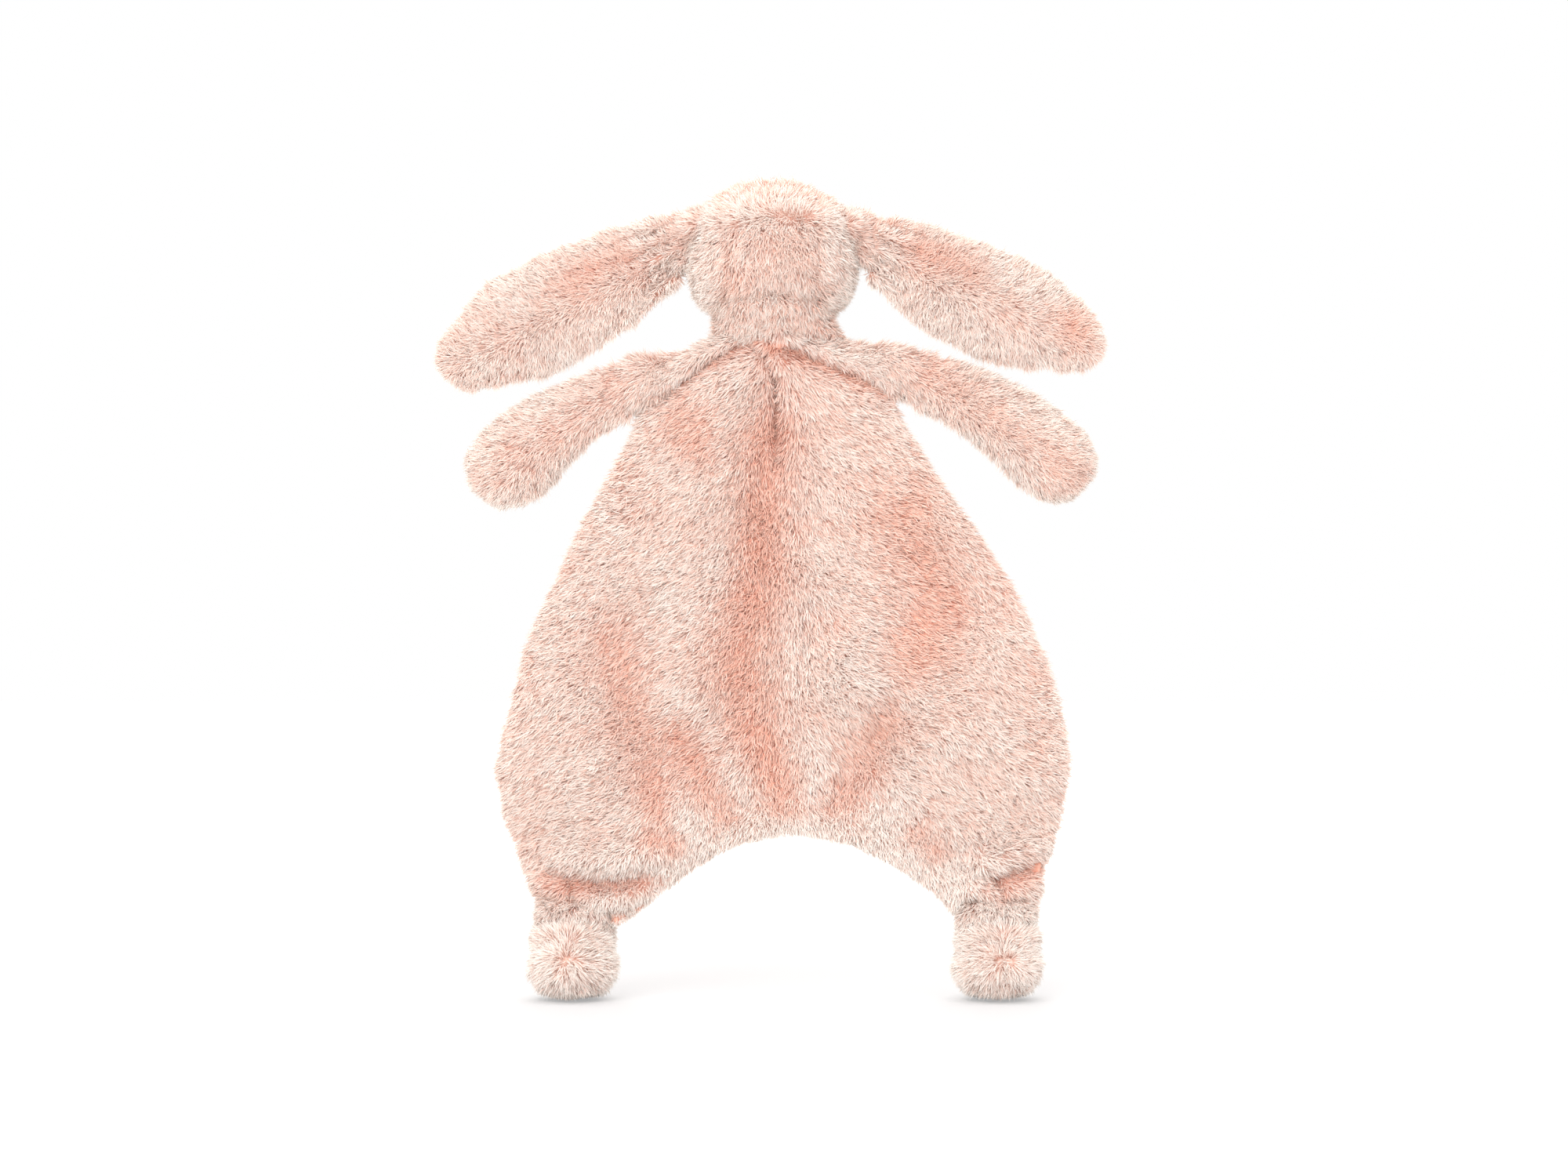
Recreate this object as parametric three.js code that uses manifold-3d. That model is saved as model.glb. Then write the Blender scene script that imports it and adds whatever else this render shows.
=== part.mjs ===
// Plush bunny comfort blanket: a flat double-layer body with a stuffed head, arms, ears and feet.
// Millimetres, +Z up. The toy stands on its two soles and faces -Y, so its own left is +X.
// The origin lies on the floor, under the middle of the outer box.

import * as THREE from "three";
import { mergeVertices } from "three/addons/utils/BufferGeometryUtils.js";
import Module from "manifold-3d";

const wasm = await Module();
wasm.setup();

// Cloth and clearances
const gap = 0.3;
const turnGap = 0.5;
const overrun = 60;
const clothWall = 5;
const seamHalf = 1.5;

// Heights above the floor
const neckHeight = 279;
const ankleHeight = 30;

// Neck: a ball of stuffing drawn in by a thread, between the head and the shoulders
const neckBallRadius = 10;
const neckThreadRadius = 0.8;
const neckRoom = 6.6;
const neckSideRoom = 2;
const headLift = 3.4;
const shoulderDrop = 1.8;

// Head, from its underside to the crown
const headHeight = 57.6;
const headHalfWidth = 35.3;
const headBackDepth = 33.7;
const headFaceDepth = 33;
const headSeamHalf = 18;
const faceSeamDepth = 8;

// Ears: reach sideways and drop from root to tip, both on the middle line
const earLeftReach = 101.5;
const earLeftDrop = 51.6;
const earRightReach = 101.6;
const earRightDrop = 46;
const earRootSide = 36.9;
const earLeftAboveNeck = 32;
const earRightAboveNeck = 33.5;
const earHalfWidth = 23.2;
const earHalfThickness = 7;
const earRootHalfHeight = 9;
const earHingeRadius = 4;
const earRound = 11;

// Arms: reach sideways and drop from the shoulder seam to the paw's tip
const armLeftReach = 65.4;
const armLeftDrop = 47.3;
const armRightReach = 74.8;
const armRightDrop = 50.8;
const armLeftSide = 54.7;
const armLeftBelowNeck = 24.8;
const armRightSide = 52.5;
const armRightBelowNeck = 19.3;
const armLeftSlant = THREE.MathUtils.degToRad(17.4);
const armRightSlant = THREE.MathUtils.degToRad(15);
const armRootHalfWidth = 11.6;
const pawHalfWidth = 18.8;
const pawHalfThickness = 14;
const pawRound = 18;
const armHingeRadius = 5;
const shoulderSetBack = 2.7;
const armpitRoom = 3;

// Blanket body: half widths at the widest place, measured from the neck's upright line
const sideLeft = 114.2;
const sideRight = 123.2;
const archRise = 36;
const bodyHalfThickness = 7.5;
const bodyRound = 13;
const shoulderSlope = 12;
const shoulderSwell = 7.5;
const shoulderSwellWidth = 22;
const shoulderSwellHeight = 17;
const shoulderSwellDrop = 14;
const shoulderEndHalf = 6.4;
const shoulderTaper = 16;
const yokeCentreDrop = 10;
const yokeSideDrop = 1;
const legGripHalf = 9;
const legGripHeight = 14;
const shoulderFillHalfWidth = 30;
const shoulderFillHalfDepth = 9;
const shoulderFillHalfHeight = 12;
const shoulderFillDrop = 15.5;

// Folds of the hanging cloth
const backFoldDepth = 3.4;
const backFoldWidth = 15;
const backFoldLean = 9;
const dentDepth = 2.8;
const dentWidth = 19;
const dentHeight = 30;
const crotchFoldDepth = 2.4;
const crotchFoldWidth = 7;
const crotchFoldStart = 8;
const crotchFoldRise = 16;
const ankleFoldDepth = 2.6;
const ankleFoldWidth = 5;
const ankleFoldRise = 25;
const ankleFoldInner = 46;
const ankleFoldFade = 16;

// Feet
const footLeftSide = 82.4;
const footRightSide = 93.1;
const footHalfWidth = 19.6;
const footHalfDepth = 23;
const footTopRoom = 4;
const footSoleCut = 0.5;
const footNubRadius = 6;
const footStemRadius = 4;
const ankleThreadRadius = 0.7;
const ankleThreadLift = 0.7;
const legLift = 1.8;

// Face, embroidered
const eyeRadius = 3.6;
const eyeThickness = 2.2;
const eyeSide = 15;
const eyeAboveNeck = 29;
const noseHalfWidth = 4.8;
const noseHeight = 5.4;
const noseThickness = 1.4;
const noseAboveNeck = 20;
const mouthRadius = 2.4;
const mouthLine = 1.1;
const mouthThickness = 0.9;
const mouthStem = 4.2;
const mouthAboveNeck = 13;

// Colours from the photograph
const blush = 0xf3cdbf;
const blushLight = 0xf7dccf;
const blushPale = 0xf9e6dc;
const wadding = 0xf4f1ea;
const sewingThread = 0xe9b9ab;
const eyeThread = 0x4a3830;
const noseThread = 0xd98f88;
const plushRoughness = 0.95;
const threadRoughness = 0.6;

// Tables of shares, read by smooth interpolation: place along the piece, then size there
const headWidthShares = [
  [0, 0.72], [0.058, 0.824], [0.125, 0.895], [0.19, 0.949], [0.26, 0.98], [0.33, 1], [0.47, 0.98],
  [0.6, 0.945], [0.7, 0.9], [0.79, 0.82], [0.86, 0.7], [0.925, 0.53], [0.975, 0.3],
];
const headBackShares = [
  [0, 0.46], [0.058, 0.6], [0.125, 0.74], [0.19, 0.84], [0.26, 0.92], [0.33, 0.97], [0.47, 1],
  [0.6, 0.98], [0.7, 0.93], [0.79, 0.85], [0.86, 0.73], [0.925, 0.55], [0.975, 0.32],
];
const headFaceShares = [
  [0, 0.46], [0.058, 0.66], [0.125, 0.84], [0.19, 0.93], [0.26, 0.965], [0.33, 0.95], [0.47, 0.91],
  [0.6, 0.87], [0.7, 0.82], [0.79, 0.75], [0.86, 0.64], [0.925, 0.48], [0.975, 0.28],
];
const earLeftLineShares = [[0, 0], [0.072, 0.027], [0.158, 0.136], [0.28, 0.26], [0.53, 0.52], [0.78, 0.79], [1, 1]];
const earRightLineShares = [[0, 0], [0.06, 0.02], [0.13, 0.11], [0.25, 0.26], [0.51, 0.53], [0.76, 0.755], [1, 1]];
const earWidthShares = [
  [0, 0.385], [0.083, 0.66], [0.165, 0.785], [0.29, 0.905], [0.41, 0.98], [0.53, 1], [0.65, 0.975],
  [0.78, 0.8], [0.9, 0.6], [1, 0.5],
];
const earThickShares = [[0, 0.43], [0.07, 0.43], [0.3, 0.85], [0.5, 1], [0.8, 0.86], [1, 0.7]];
const armLeftLineShares = [[0, 0], [0.208, 0.103], [0.436, 0.28], [0.713, 0.568], [0.847, 0.753], [1, 1]];
const armRightLineShares = [[0, 0], [0.139, 0.077], [0.316, 0.185], [0.563, 0.382], [0.822, 0.689], [1, 1]];
const armWidthShares = [
  [0, 0.62], [0.107, 0.683], [0.24, 0.742], [0.386, 0.817], [0.525, 0.882], [0.66, 0.973], [0.78, 1], [1, 1],
];
const armThickShares = [[0, 0.34], [0.09, 0.36], [0.3, 0.68], [0.55, 0.9], [0.78, 1], [1, 1]];
const sideLeftShares = [
  [0, 0.859], [0.049, 0.879], [0.102, 0.919], [0.154, 0.955], [0.207, 0.987], [0.286, 1], [0.365, 0.958],
  [0.445, 0.91], [0.524, 0.848], [0.603, 0.765], [0.682, 0.678], [0.761, 0.587], [0.84, 0.479],
  [0.86, 0.449], [0.952, 0.511], [1, 0.511],
];
const sideRightShares = [
  [0, 0.888], [0.049, 0.904], [0.102, 0.928], [0.154, 0.954], [0.207, 0.983], [0.286, 1], [0.365, 0.972],
  [0.445, 0.92], [0.524, 0.857], [0.603, 0.773], [0.682, 0.66], [0.761, 0.552], [0.84, 0.44],
  [0.883, 0.402], [0.976, 0.452], [1, 0.452],
];
const archStartShare = 0.19;
const archEndShare = 0.842;
const archShares = [
  [0, 0], [archStartShare, 0], [0.219, 0.15], [0.254, 0.33], [0.308, 0.51], [0.359, 0.69], [0.419, 0.87],
  [0.53, 1], [0.622, 0.87], [0.687, 0.69], [0.739, 0.51], [0.781, 0.33], [0.818, 0.15], [archEndShare, 0], [1, 0],
];
const topShares = [
  [0, 0], [0.08, 0.11], [0.23, 0.5], [0.3, 0.78], [0.365, 1], [0.635, 1], [0.7, 0.86], [0.77, 0.68],
  [0.9, 0.52], [1, 0.48],
];
const neckStartShare = 0.3;
const neckEndShare = 0.7;
const armpitShare = 0.86;
const dentPlaceShares = [[0.39, 0.36], [-0.57, 0.6], [-0.4, 0.2]];
const backFoldShares = [[0.12, 0], [0.3, 1], [0.86, 1], [0.98, 0]];
const crotchFoldLeanShare = 0.75;

// Numbers of sides and rows
const headSides = 20;
const earSides = 14;
const earRows = 8;
const armSides = 10;
const armRows = 5;
const roundRows = 3;
const footSides = 14;
const footRows = 7;
const legColumns = 4;
const archColumns = 12;
const bodyRows = 17;
const edgeSteps = 60;
const ballSides = 16;
const ballRows = 8;
const ringSides = 3;
const curveSteps = 5;
const ringSteps = 16;
const footSquareness = 2.4;
const soleShare = 0.6;

// Value at a place in a table of shares, on a curve that never overshoots
function along(pairs, place) {
  const last = pairs.length - 1;
  if (place <= pairs[0][0]) return pairs[0][1];
  if (place >= pairs[last][0]) return pairs[last][1];
  const low = pairs.findIndex((pair, index) => index < last && place < pairs[index + 1][0]);
  const slope = (index) => (pairs[index + 1][1] - pairs[index][1]) / (pairs[index + 1][0] - pairs[index][0]);
  const tangent = (index) => {
    if (index === 0) return slope(0);
    if (index === last) return slope(last - 1);
    const before = slope(index - 1);
    const after = slope(index);
    return before * after <= 0 ? 0 : (2 * before * after) / (before + after);
  };
  const span = pairs[low + 1][0] - pairs[low][0];
  const t = (place - pairs[low][0]) / span;
  const rise = (pairs[low + 1][1] - pairs[low][1]) * t * t * (3 - 2 * t);
  const bend = t * (1 - t) * ((1 - t) * tangent(low) - t * tangent(low + 1)) * span;
  return pairs[low][1] + rise + bend;
}

function hump(distance, width) {
  return Math.exp(-((distance / width) ** 2));
}

// Quarter circle that rises from 0 at an edge to 1 where the rounding ends
function rounding(share) {
  return Math.sqrt(1 - (1 - Math.min(share, 1)) ** 2);
}

function spread(from, to, count) {
  return Array.from({ length: count }, (none, at) => from + ((to - from) * (1 - Math.cos((Math.PI * at) / count))) / 2);
}

// Triangles between rings of equally many points
function bands(rings) {
  const count = rings[0].length;
  const index = [];
  for (let row = 0; row + 1 < rings.length; row += 1) {
    for (let side = 0; side < count; side += 1) {
      const a = row * count + side;
      const b = row * count + ((side + 1) % count);
      index.push(a, b, b + count, a, b + count, a + count);
    }
  }
  return index;
}

function solidFrom(points, index) {
  const geometry = new THREE.BufferGeometry().setFromPoints(points);
  geometry.setIndex(index);
  return solidOf(geometry);
}

// Closed skin through rings, with a fan to the middle of the first ring and to the tip past the last
function skin(rings, tip) {
  const count = rings[0].length;
  const points = rings.flat();
  const index = bands(rings);
  const lastRow = points.length - count;
  const root = rings[0].reduce((sum, point) => sum.add(point), new THREE.Vector3()).divideScalar(count);
  const first = points.push(root) - 1;
  const last = points.push(tip) - 1;
  for (let side = 0; side < count; side += 1) {
    const next = (side + 1) % count;
    index.push(first, next, side, last, lastRow + side, lastRow + next);
  }
  return solidFrom(points, index);
}

// Closed skin through rings that go out along the back and return along the front, sewn flat at both ends
function flatSkin(rings) {
  const count = rings[0].length;
  const index = bands(rings);
  const lastRow = (rings.length - 1) * count;
  for (let side = 0; side + 1 < count / 2; side += 1) {
    const mate = count - 1 - side;
    index.push(side + 1, side, mate, side + 1, mate, mate - 1);
    index.push(lastRow + side, lastRow + side + 1, lastRow + mate - 1);
    index.push(lastRow + side, lastRow + mate - 1, lastRow + mate);
  }
  return solidFrom(rings.flat(), index);
}

// A solid for cutting and joining, turned right side out
function solidOf(geometry) {
  const bare = new THREE.BufferGeometry();
  bare.setAttribute("position", geometry.getAttribute("position"));
  if (geometry.index) bare.setIndex(geometry.index);
  const merged = mergeVertices(bare);
  const triVerts = new Uint32Array(merged.index.array);
  const vertProperties = new Float32Array(merged.attributes.position.array);
  const corner = (at) => new THREE.Vector3().fromArray(vertProperties, triVerts[at] * 3);
  let volume = 0;
  for (let at = 0; at < triVerts.length; at += 3) {
    volume += corner(at).dot(corner(at + 1).cross(corner(at + 2)));
  }
  if (volume < 0) triVerts.reverse();
  return new wasm.Manifold(new wasm.Mesh({ numProp: 3, vertProperties, triVerts }));
}

function geometryOf(solid) {
  const { vertProperties, triVerts, numProp } = solid.getMesh();
  const positions = new Float32Array((vertProperties.length / numProp) * 3);
  for (let corner = 0; corner * numProp < vertProperties.length; corner += 1) {
    positions.set(vertProperties.subarray(corner * numProp, corner * numProp + 3), corner * 3);
  }
  const geometry = new THREE.BufferGeometry();
  geometry.setAttribute("position", new THREE.BufferAttribute(positions, 3));
  geometry.setIndex(new THREE.BufferAttribute(new Uint32Array(triVerts), 1));
  geometry.computeVertexNormals();
  return geometry;
}

function vector(x, y, z) {
  return new THREE.Vector3(x, y, z);
}

const centre = vector(0, 0, 0);
const upright = vector(0, 0, 1);

function block(low, high) {
  const size = new THREE.Vector3().subVectors(high, low);
  const middle = new THREE.Vector3().addVectors(low, high).divideScalar(2);
  return solidOf(new THREE.BoxGeometry(size.x, size.y, size.z).translate(middle.x, middle.y, middle.z));
}

function ball(radius, at) {
  return egg(radius, radius, radius, at);
}

function egg(halfWidth, halfDepth, halfHeight, at) {
  const geometry = new THREE.SphereGeometry(1, ballSides, ballRows).rotateX(Math.PI / 2);
  return solidOf(geometry.scale(halfWidth, halfDepth, halfHeight).translate(at.x, at.y, at.z));
}

// Ring of thread lying flat
function threadRing(ringRadius, threadRadius) {
  const section = new THREE.Path().absarc(ringRadius, 0, threadRadius, 0, 2 * Math.PI, false).getPoints(ringSides);
  section[section.length - 1].copy(section[0]);
  return solidOf(new THREE.LatheGeometry(section, ringSteps).rotateX(Math.PI / 2));
}

// Rod with its middle at a point, along a direction
function rod(radius, halfLength, at, direction) {
  const geometry = new THREE.CylinderGeometry(radius, radius, 2 * halfLength, ringSteps);
  geometry.applyQuaternion(new THREE.Quaternion().setFromUnitVectors(vector(0, 1, 0), direction));
  return solidOf(geometry.translate(at.x, at.y, at.z));
}

function piece(name, solid, color, roughness = plushRoughness) {
  const mesh = new THREE.Mesh(geometryOf(solid), new THREE.MeshStandardMaterial({ color, roughness, metalness: 0 }));
  mesh.name = name;
  return mesh;
}

function groupAt(place, pieces) {
  const group = new THREE.Group();
  group.position.copy(place);
  group.add(...pieces);
  return group;
}

const toyHeight = neckHeight + headLift + headHeight;

// The shoulder seams, where the arms swing: middle, direction of the seam and direction of the arm
function shoulderSeam(side, across, height, slant) {
  return {
    middle: vector(side * across, 0, height),
    seam: vector(side * Math.sin(slant), 0, Math.cos(slant)),
    outward: vector(side * Math.cos(slant), 0, -Math.sin(slant)),
  };
}

const leftShoulder = shoulderSeam(1, armLeftSide, neckHeight - armLeftBelowNeck, armLeftSlant);
const rightShoulder = shoulderSeam(-1, armRightSide, neckHeight - armRightBelowNeck, armRightSlant);
const neck = vector(0, 0, neckHeight);
const leftAnkle = vector(footLeftSide, 0, ankleHeight);
const rightAnkle = vector(-footRightSide, 0, ankleHeight);

// Body outline: columns run from the hem with its arch up to the shoulders, between the two sides
const legHeight = ankleHeight + legLift;
const bodyTop = neckHeight - shoulderDrop;
const bodyHeight = bodyTop - legHeight;

function bodyPoint(across, up) {
  const hem = legHeight + archRise * along(archShares, across);
  const top = bodyTop - shoulderSlope * (1 - along(topShares, across));
  const height = hem + (top - hem) * up;
  const share = (height - legHeight) / bodyHeight;
  const left = sideLeft * along(sideLeftShares, share);
  const right = -sideRight * along(sideRightShares, share);
  return new THREE.Vector2(left + (right - left) * across, height);
}

// Free edges of the cloth: the sides below the arms, the arch and the tops of the shoulders
function freeEdges() {
  const steps = Array.from({ length: edgeSteps + 1 }, (none, at) => at / edgeSteps);
  const lines = [
    steps.map((share) => bodyPoint(0, share * armpitShare)),
    steps.map((share) => bodyPoint(1, share * armpitShare)),
    steps.map((share) => bodyPoint(archStartShare + (archEndShare - archStartShare) * share, 0)),
    steps.map((share) => bodyPoint(share * neckStartShare, 1)),
    steps.map((share) => bodyPoint(neckEndShare + (1 - neckEndShare) * share, 1)),
  ];
  return lines.flatMap((line) => line.slice(1).map((point, at) => [line[at], point]));
}

const edges = freeEdges();

function edgeShare(place) {
  const step = new THREE.Vector2();
  const away = new THREE.Vector2();
  const distance = edges.reduce((least, [start, end]) => {
    step.subVectors(end, start);
    away.subVectors(place, start);
    const share = THREE.MathUtils.clamp(away.dot(step) / step.lengthSq(), 0, 1);
    return Math.min(least, away.addScaledVector(step, -share).length());
  }, Infinity);
  return distance / bodyRound;
}

// How far the cloth sinks towards the front at a place
function foldAt(place) {
  const rise = place.y - legHeight;
  const up = rise / bodyHeight;
  const reach = place.x > 0 ? sideLeft : sideRight;
  const foldLine = -backFoldLean * (1 - up);
  let fold = backFoldDepth * along(backFoldShares, up) * hump(place.x - foldLine, backFoldWidth);
  dentPlaceShares.forEach(([side, height]) => {
    fold += dentDepth * hump(place.x - side * reach, dentWidth) * hump(rise - height * bodyHeight, dentHeight);
  });
  const above = rise - archRise;
  [1, -1].forEach((side) => {
    const line = foldLine + side * (crotchFoldStart + crotchFoldLeanShare * above);
    fold += crotchFoldDepth * hump(above - crotchFoldRise, crotchFoldRise) * hump(place.x - line, crotchFoldWidth);
  });
  const leg = THREE.MathUtils.smoothstep(Math.abs(place.x), ankleFoldInner, ankleFoldInner + ankleFoldFade);
  fold += ankleFoldDepth * leg * hump(rise - ankleFoldRise, ankleFoldWidth);
  return fold * Math.min(edgeShare(place), 1);
}

// Half thickness of the blanket at a place
function halfThicknessAt(place) {
  const swellHeight = place.y - (bodyTop - shoulderSwellDrop);
  const swell = shoulderSwell * hump(place.x, shoulderSwellWidth) * hump(swellHeight, shoulderSwellHeight);
  const grip = 1 - THREE.MathUtils.smoothstep(place.y, legHeight, legHeight + legGripHeight);
  let half = bodyHalfThickness + swell + (legGripHalf - bodyHalfThickness) * grip;
  [leftShoulder, rightShoulder].forEach(({ middle, outward }) => {
    const inward = -outward.dot(vector(place.x, 0, place.y).sub(middle));
    const taper = 1 - THREE.MathUtils.smoothstep(inward, 0, shoulderTaper);
    const start = middle.z - armRootHalfWidth;
    half += (shoulderEndHalf - half) * taper * THREE.MathUtils.smoothstep(place.y, start - shoulderTaper, start);
  });
  return seamHalf + (half - seamHalf) * rounding(edgeShare(place));
}

function bodyForm() {
  const columns = [
    ...spread(0, archStartShare, legColumns),
    ...spread(archStartShare, archEndShare, archColumns),
    ...spread(archEndShare, 1, legColumns),
    1,
  ];
  const rings = [...spread(0, 1, bodyRows), 1].map((up) => {
    const places = columns.map((across) => bodyPoint(across, up));
    const face = (towards) => places.map((place) => (
      vector(place.x, towards * halfThicknessAt(place) - foldAt(place), place.y)
    ));
    return [...face(1), ...face(-1).reverse()];
  });
  return flatSkin(rings);
}

// Cuts off what lies beyond a shoulder seam, with the round groove that the arm's root turns in
function shoulderCut({ middle, seam, outward }) {
  const size = 2 * overrun;
  const beyond = new THREE.BoxGeometry(size, size, size).translate(overrun - shoulderSetBack, 0, 0);
  const turn = new THREE.Matrix4().makeBasis(outward, new THREE.Vector3().crossVectors(seam, outward), seam);
  const armpit = middle.z - (armRootHalfWidth + armpitRoom) * seam.z;
  const below = block(vector(-toyHeight, -overrun, 0), vector(toyHeight, overrun, armpit));
  return solidOf(beyond.applyMatrix4(turn).translate(middle.x, middle.y, middle.z))
    .subtract(below)
    .add(rod(armHingeRadius + gap, armRootHalfWidth + gap, middle, seam));
}

// Everything above the raglan line, an upside-down V from under the neck to both armpits
function aboveRaglan(clearance) {
  const pitOf = ({ middle }) => middle.z - armRootHalfWidth - yokeSideDrop + clearance;
  const outline = new THREE.Shape();
  outline.moveTo(0, neckHeight - yokeCentreDrop + clearance);
  outline.lineTo(armLeftSide, pitOf(leftShoulder));
  outline.lineTo(armLeftSide + overrun, pitOf(leftShoulder));
  outline.lineTo(armLeftSide + overrun, toyHeight);
  outline.lineTo(-armRightSide - overrun, toyHeight);
  outline.lineTo(-armRightSide - overrun, pitOf(rightShoulder));
  outline.lineTo(-armRightSide, pitOf(rightShoulder));
  outline.closePath();
  const geometry = new THREE.ExtrudeGeometry(outline, { depth: 2 * overrun, bevelEnabled: false });
  return solidOf(geometry.rotateX(Math.PI / 2).translate(0, overrun, 0));
}

function bodyPieces() {
  const form = bodyForm()
    .subtract(shoulderCut(leftShoulder))
    .subtract(shoulderCut(rightShoulder))
    .subtract(ball(footNubRadius + gap, leftAnkle))
    .subtract(ball(footNubRadius + gap, rightAnkle));
  const fillMiddle = vector(0, 0, neckHeight - shoulderFillDrop);
  const fill = (room) => egg(
    shoulderFillHalfWidth + room,
    shoulderFillHalfDepth + room,
    shoulderFillHalfHeight + room,
    fillMiddle,
  );
  const neckHole = ball(neckBallRadius + turnGap, neck);
  const below = form.subtract(aboveRaglan(0)).subtract(fill(gap)).subtract(neckHole);
  const far = toyHeight;
  const near = gap / 2;
  return [
    piece("back_left_panel", below.intersect(block(vector(near, near, 0), vector(far, far, far))), blush),
    piece("back_right_panel", below.intersect(block(vector(-far, near, 0), vector(-near, far, far))), blush),
    piece("front_left_panel", below.intersect(block(vector(near, -far, 0), vector(far, -near, far))), blushLight),
    piece("front_right_panel", below.intersect(block(vector(-far, -far, 0), vector(-near, -near, far))), blushLight),
    piece("shoulder_cover", form.intersect(aboveRaglan(gap)).subtract(fill(gap)).subtract(neckHole), blush),
    piece("shoulder_filling", fill(0).subtract(neckHole), wadding),
  ];
}

function ankleThread(name, ankle) {
  const ring = threadRing(footNubRadius + gap + ankleThreadRadius, ankleThreadRadius);
  const lift = vector(0, 0, ankleThreadLift);
  return groupAt(lift.add(ankle), [piece(name, ring, sewingThread, threadRoughness)]);
}

function neckPieces() {
  const groove = threadRing(neckBallRadius, neckThreadRadius + gap);
  return [
    piece("neck_filling", ball(neckBallRadius, centre).subtract(groove), wadding),
    piece("neck_thread", threadRing(neckBallRadius, neckThreadRadius), sewingThread, threadRoughness),
  ];
}

// Head, measured from the middle of the neck: rings from the neck up to the crown
function headForm(inset) {
  const rings = headWidthShares.map(([share, wideShare], row) => {
    const height = headLift + (headHeight - inset) * share;
    return Array.from({ length: headSides }, (none, side) => {
      const turn = (2 * Math.PI * side) / headSides;
      const back = headBackDepth * headBackShares[row][1];
      const face = headFaceDepth * headFaceShares[row][1];
      const deep = (Math.sin(turn) > 0 ? back : face) - inset;
      return vector((headHalfWidth * wideShare - inset) * Math.cos(turn), deep * Math.sin(turn), height);
    });
  });
  return skin(rings, vector(0, 0, headLift + headHeight - inset));
}

function below(height) {
  return block(vector(-toyHeight, -toyHeight, -toyHeight), vector(toyHeight, toyHeight, height));
}

function earGroove(side, aboveNeck) {
  return rod(earHingeRadius + gap, earRootHalfHeight + gap, vector(side * earRootSide, 0, aboveNeck), upright);
}

function headPieces() {
  const openingRadius = neckBallRadius + neckSideRoom;
  const floor = headLift + clothWall;
  const shell = headForm(0)
    .subtract(headForm(clothWall).subtract(below(floor)))
    .subtract(rod(openingRadius, floor + gap, centre, upright))
    .subtract(earGroove(1, earLeftAboveNeck))
    .subtract(earGroove(-1, earRightAboveNeck));
  const plug = rod(openingRadius - gap, floor + clothWall, centre, upright).subtract(below(neckRoom));
  const filling = headForm(clothWall + gap)
    .subtract(below(floor + gap))
    .add(plug)
    .subtract(ball(neckBallRadius + turnGap, centre));
  const far = toyHeight;
  const seam = headSeamHalf;
  const face = -faceSeamDepth;
  return [
    piece("head_back_panel", shell.intersect(block(vector(-seam, face, -far), vector(seam, far, far))), blush),
    piece("head_left_panel", shell.intersect(block(vector(seam + gap, face, -far), vector(far, far, far))), blush),
    piece("head_right_panel", shell.intersect(block(vector(-far, face, -far), vector(-seam - gap, far, far))), blush),
    piece("face_panel", shell.intersect(block(vector(-far, -far, -far), vector(far, face - gap, far))), blushLight),
    piece("head_filling", filling, wadding),
    ...faceStitches(),
  ];
}

// Depth of the face at a place across and above the neck, and the direction that it faces there
function faceDepth(across, height) {
  const share = (height - headLift) / headHeight;
  const wide = headHalfWidth * along(headWidthShares, share);
  return -headFaceDepth * along(headFaceShares, share) * Math.sqrt(1 - (across / wide) ** 2);
}

function seatOnFace(mesh, across, height) {
  const slopeAcross = (faceDepth(across + gap, height) - faceDepth(across - gap, height)) / (2 * gap);
  const slopeUp = (faceDepth(across, height + gap) - faceDepth(across, height - gap)) / (2 * gap);
  const facing = vector(slopeAcross, -1, slopeUp).normalize();
  mesh.position.set(across, faceDepth(across, height), height).addScaledVector(facing, gap);
  mesh.quaternion.setFromUnitVectors(vector(0, -1, 0), facing);
  return mesh;
}

// Flat stitched shape of a given thickness, standing up and facing the front
function stitched(outline, thickness) {
  const options = { depth: thickness, bevelEnabled: false, curveSegments: curveSteps };
  return solidOf(new THREE.ExtrudeGeometry(outline, options).rotateX(Math.PI / 2));
}

function eye() {
  const dome = new THREE.Path();
  dome.moveTo(0, 0);
  dome.lineTo(eyeRadius, 0);
  dome.quadraticCurveTo(eyeRadius, eyeThickness, 0, eyeThickness);
  return solidOf(new THREE.LatheGeometry(dome.getPoints(ringSides), ringSteps).rotateX(Math.PI));
}

function nose() {
  const outline = new THREE.Shape();
  outline.moveTo(0, -noseHeight / 2);
  outline.quadraticCurveTo(noseHalfWidth, 0, noseHalfWidth, noseHeight / 2);
  outline.quadraticCurveTo(0, noseHeight, -noseHalfWidth, noseHeight / 2);
  outline.quadraticCurveTo(-noseHalfWidth, 0, 0, -noseHeight / 2);
  return stitched(outline, noseThickness);
}

function mouth() {
  const inner = mouthRadius - mouthLine / 2;
  const outer = mouthRadius + mouthLine / 2;
  const curl = (side) => {
    const outline = new THREE.Shape();
    outline.absarc(side * mouthRadius, 0, outer, Math.PI, 2 * Math.PI, false);
    outline.absarc(side * mouthRadius, 0, inner, 2 * Math.PI, Math.PI, true);
    return stitched(outline, mouthThickness);
  };
  const half = mouthLine / 2;
  const stem = block(vector(-half, -mouthThickness, -half), vector(half, 0, mouthStem));
  return curl(1).add(curl(-1)).add(stem);
}

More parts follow.
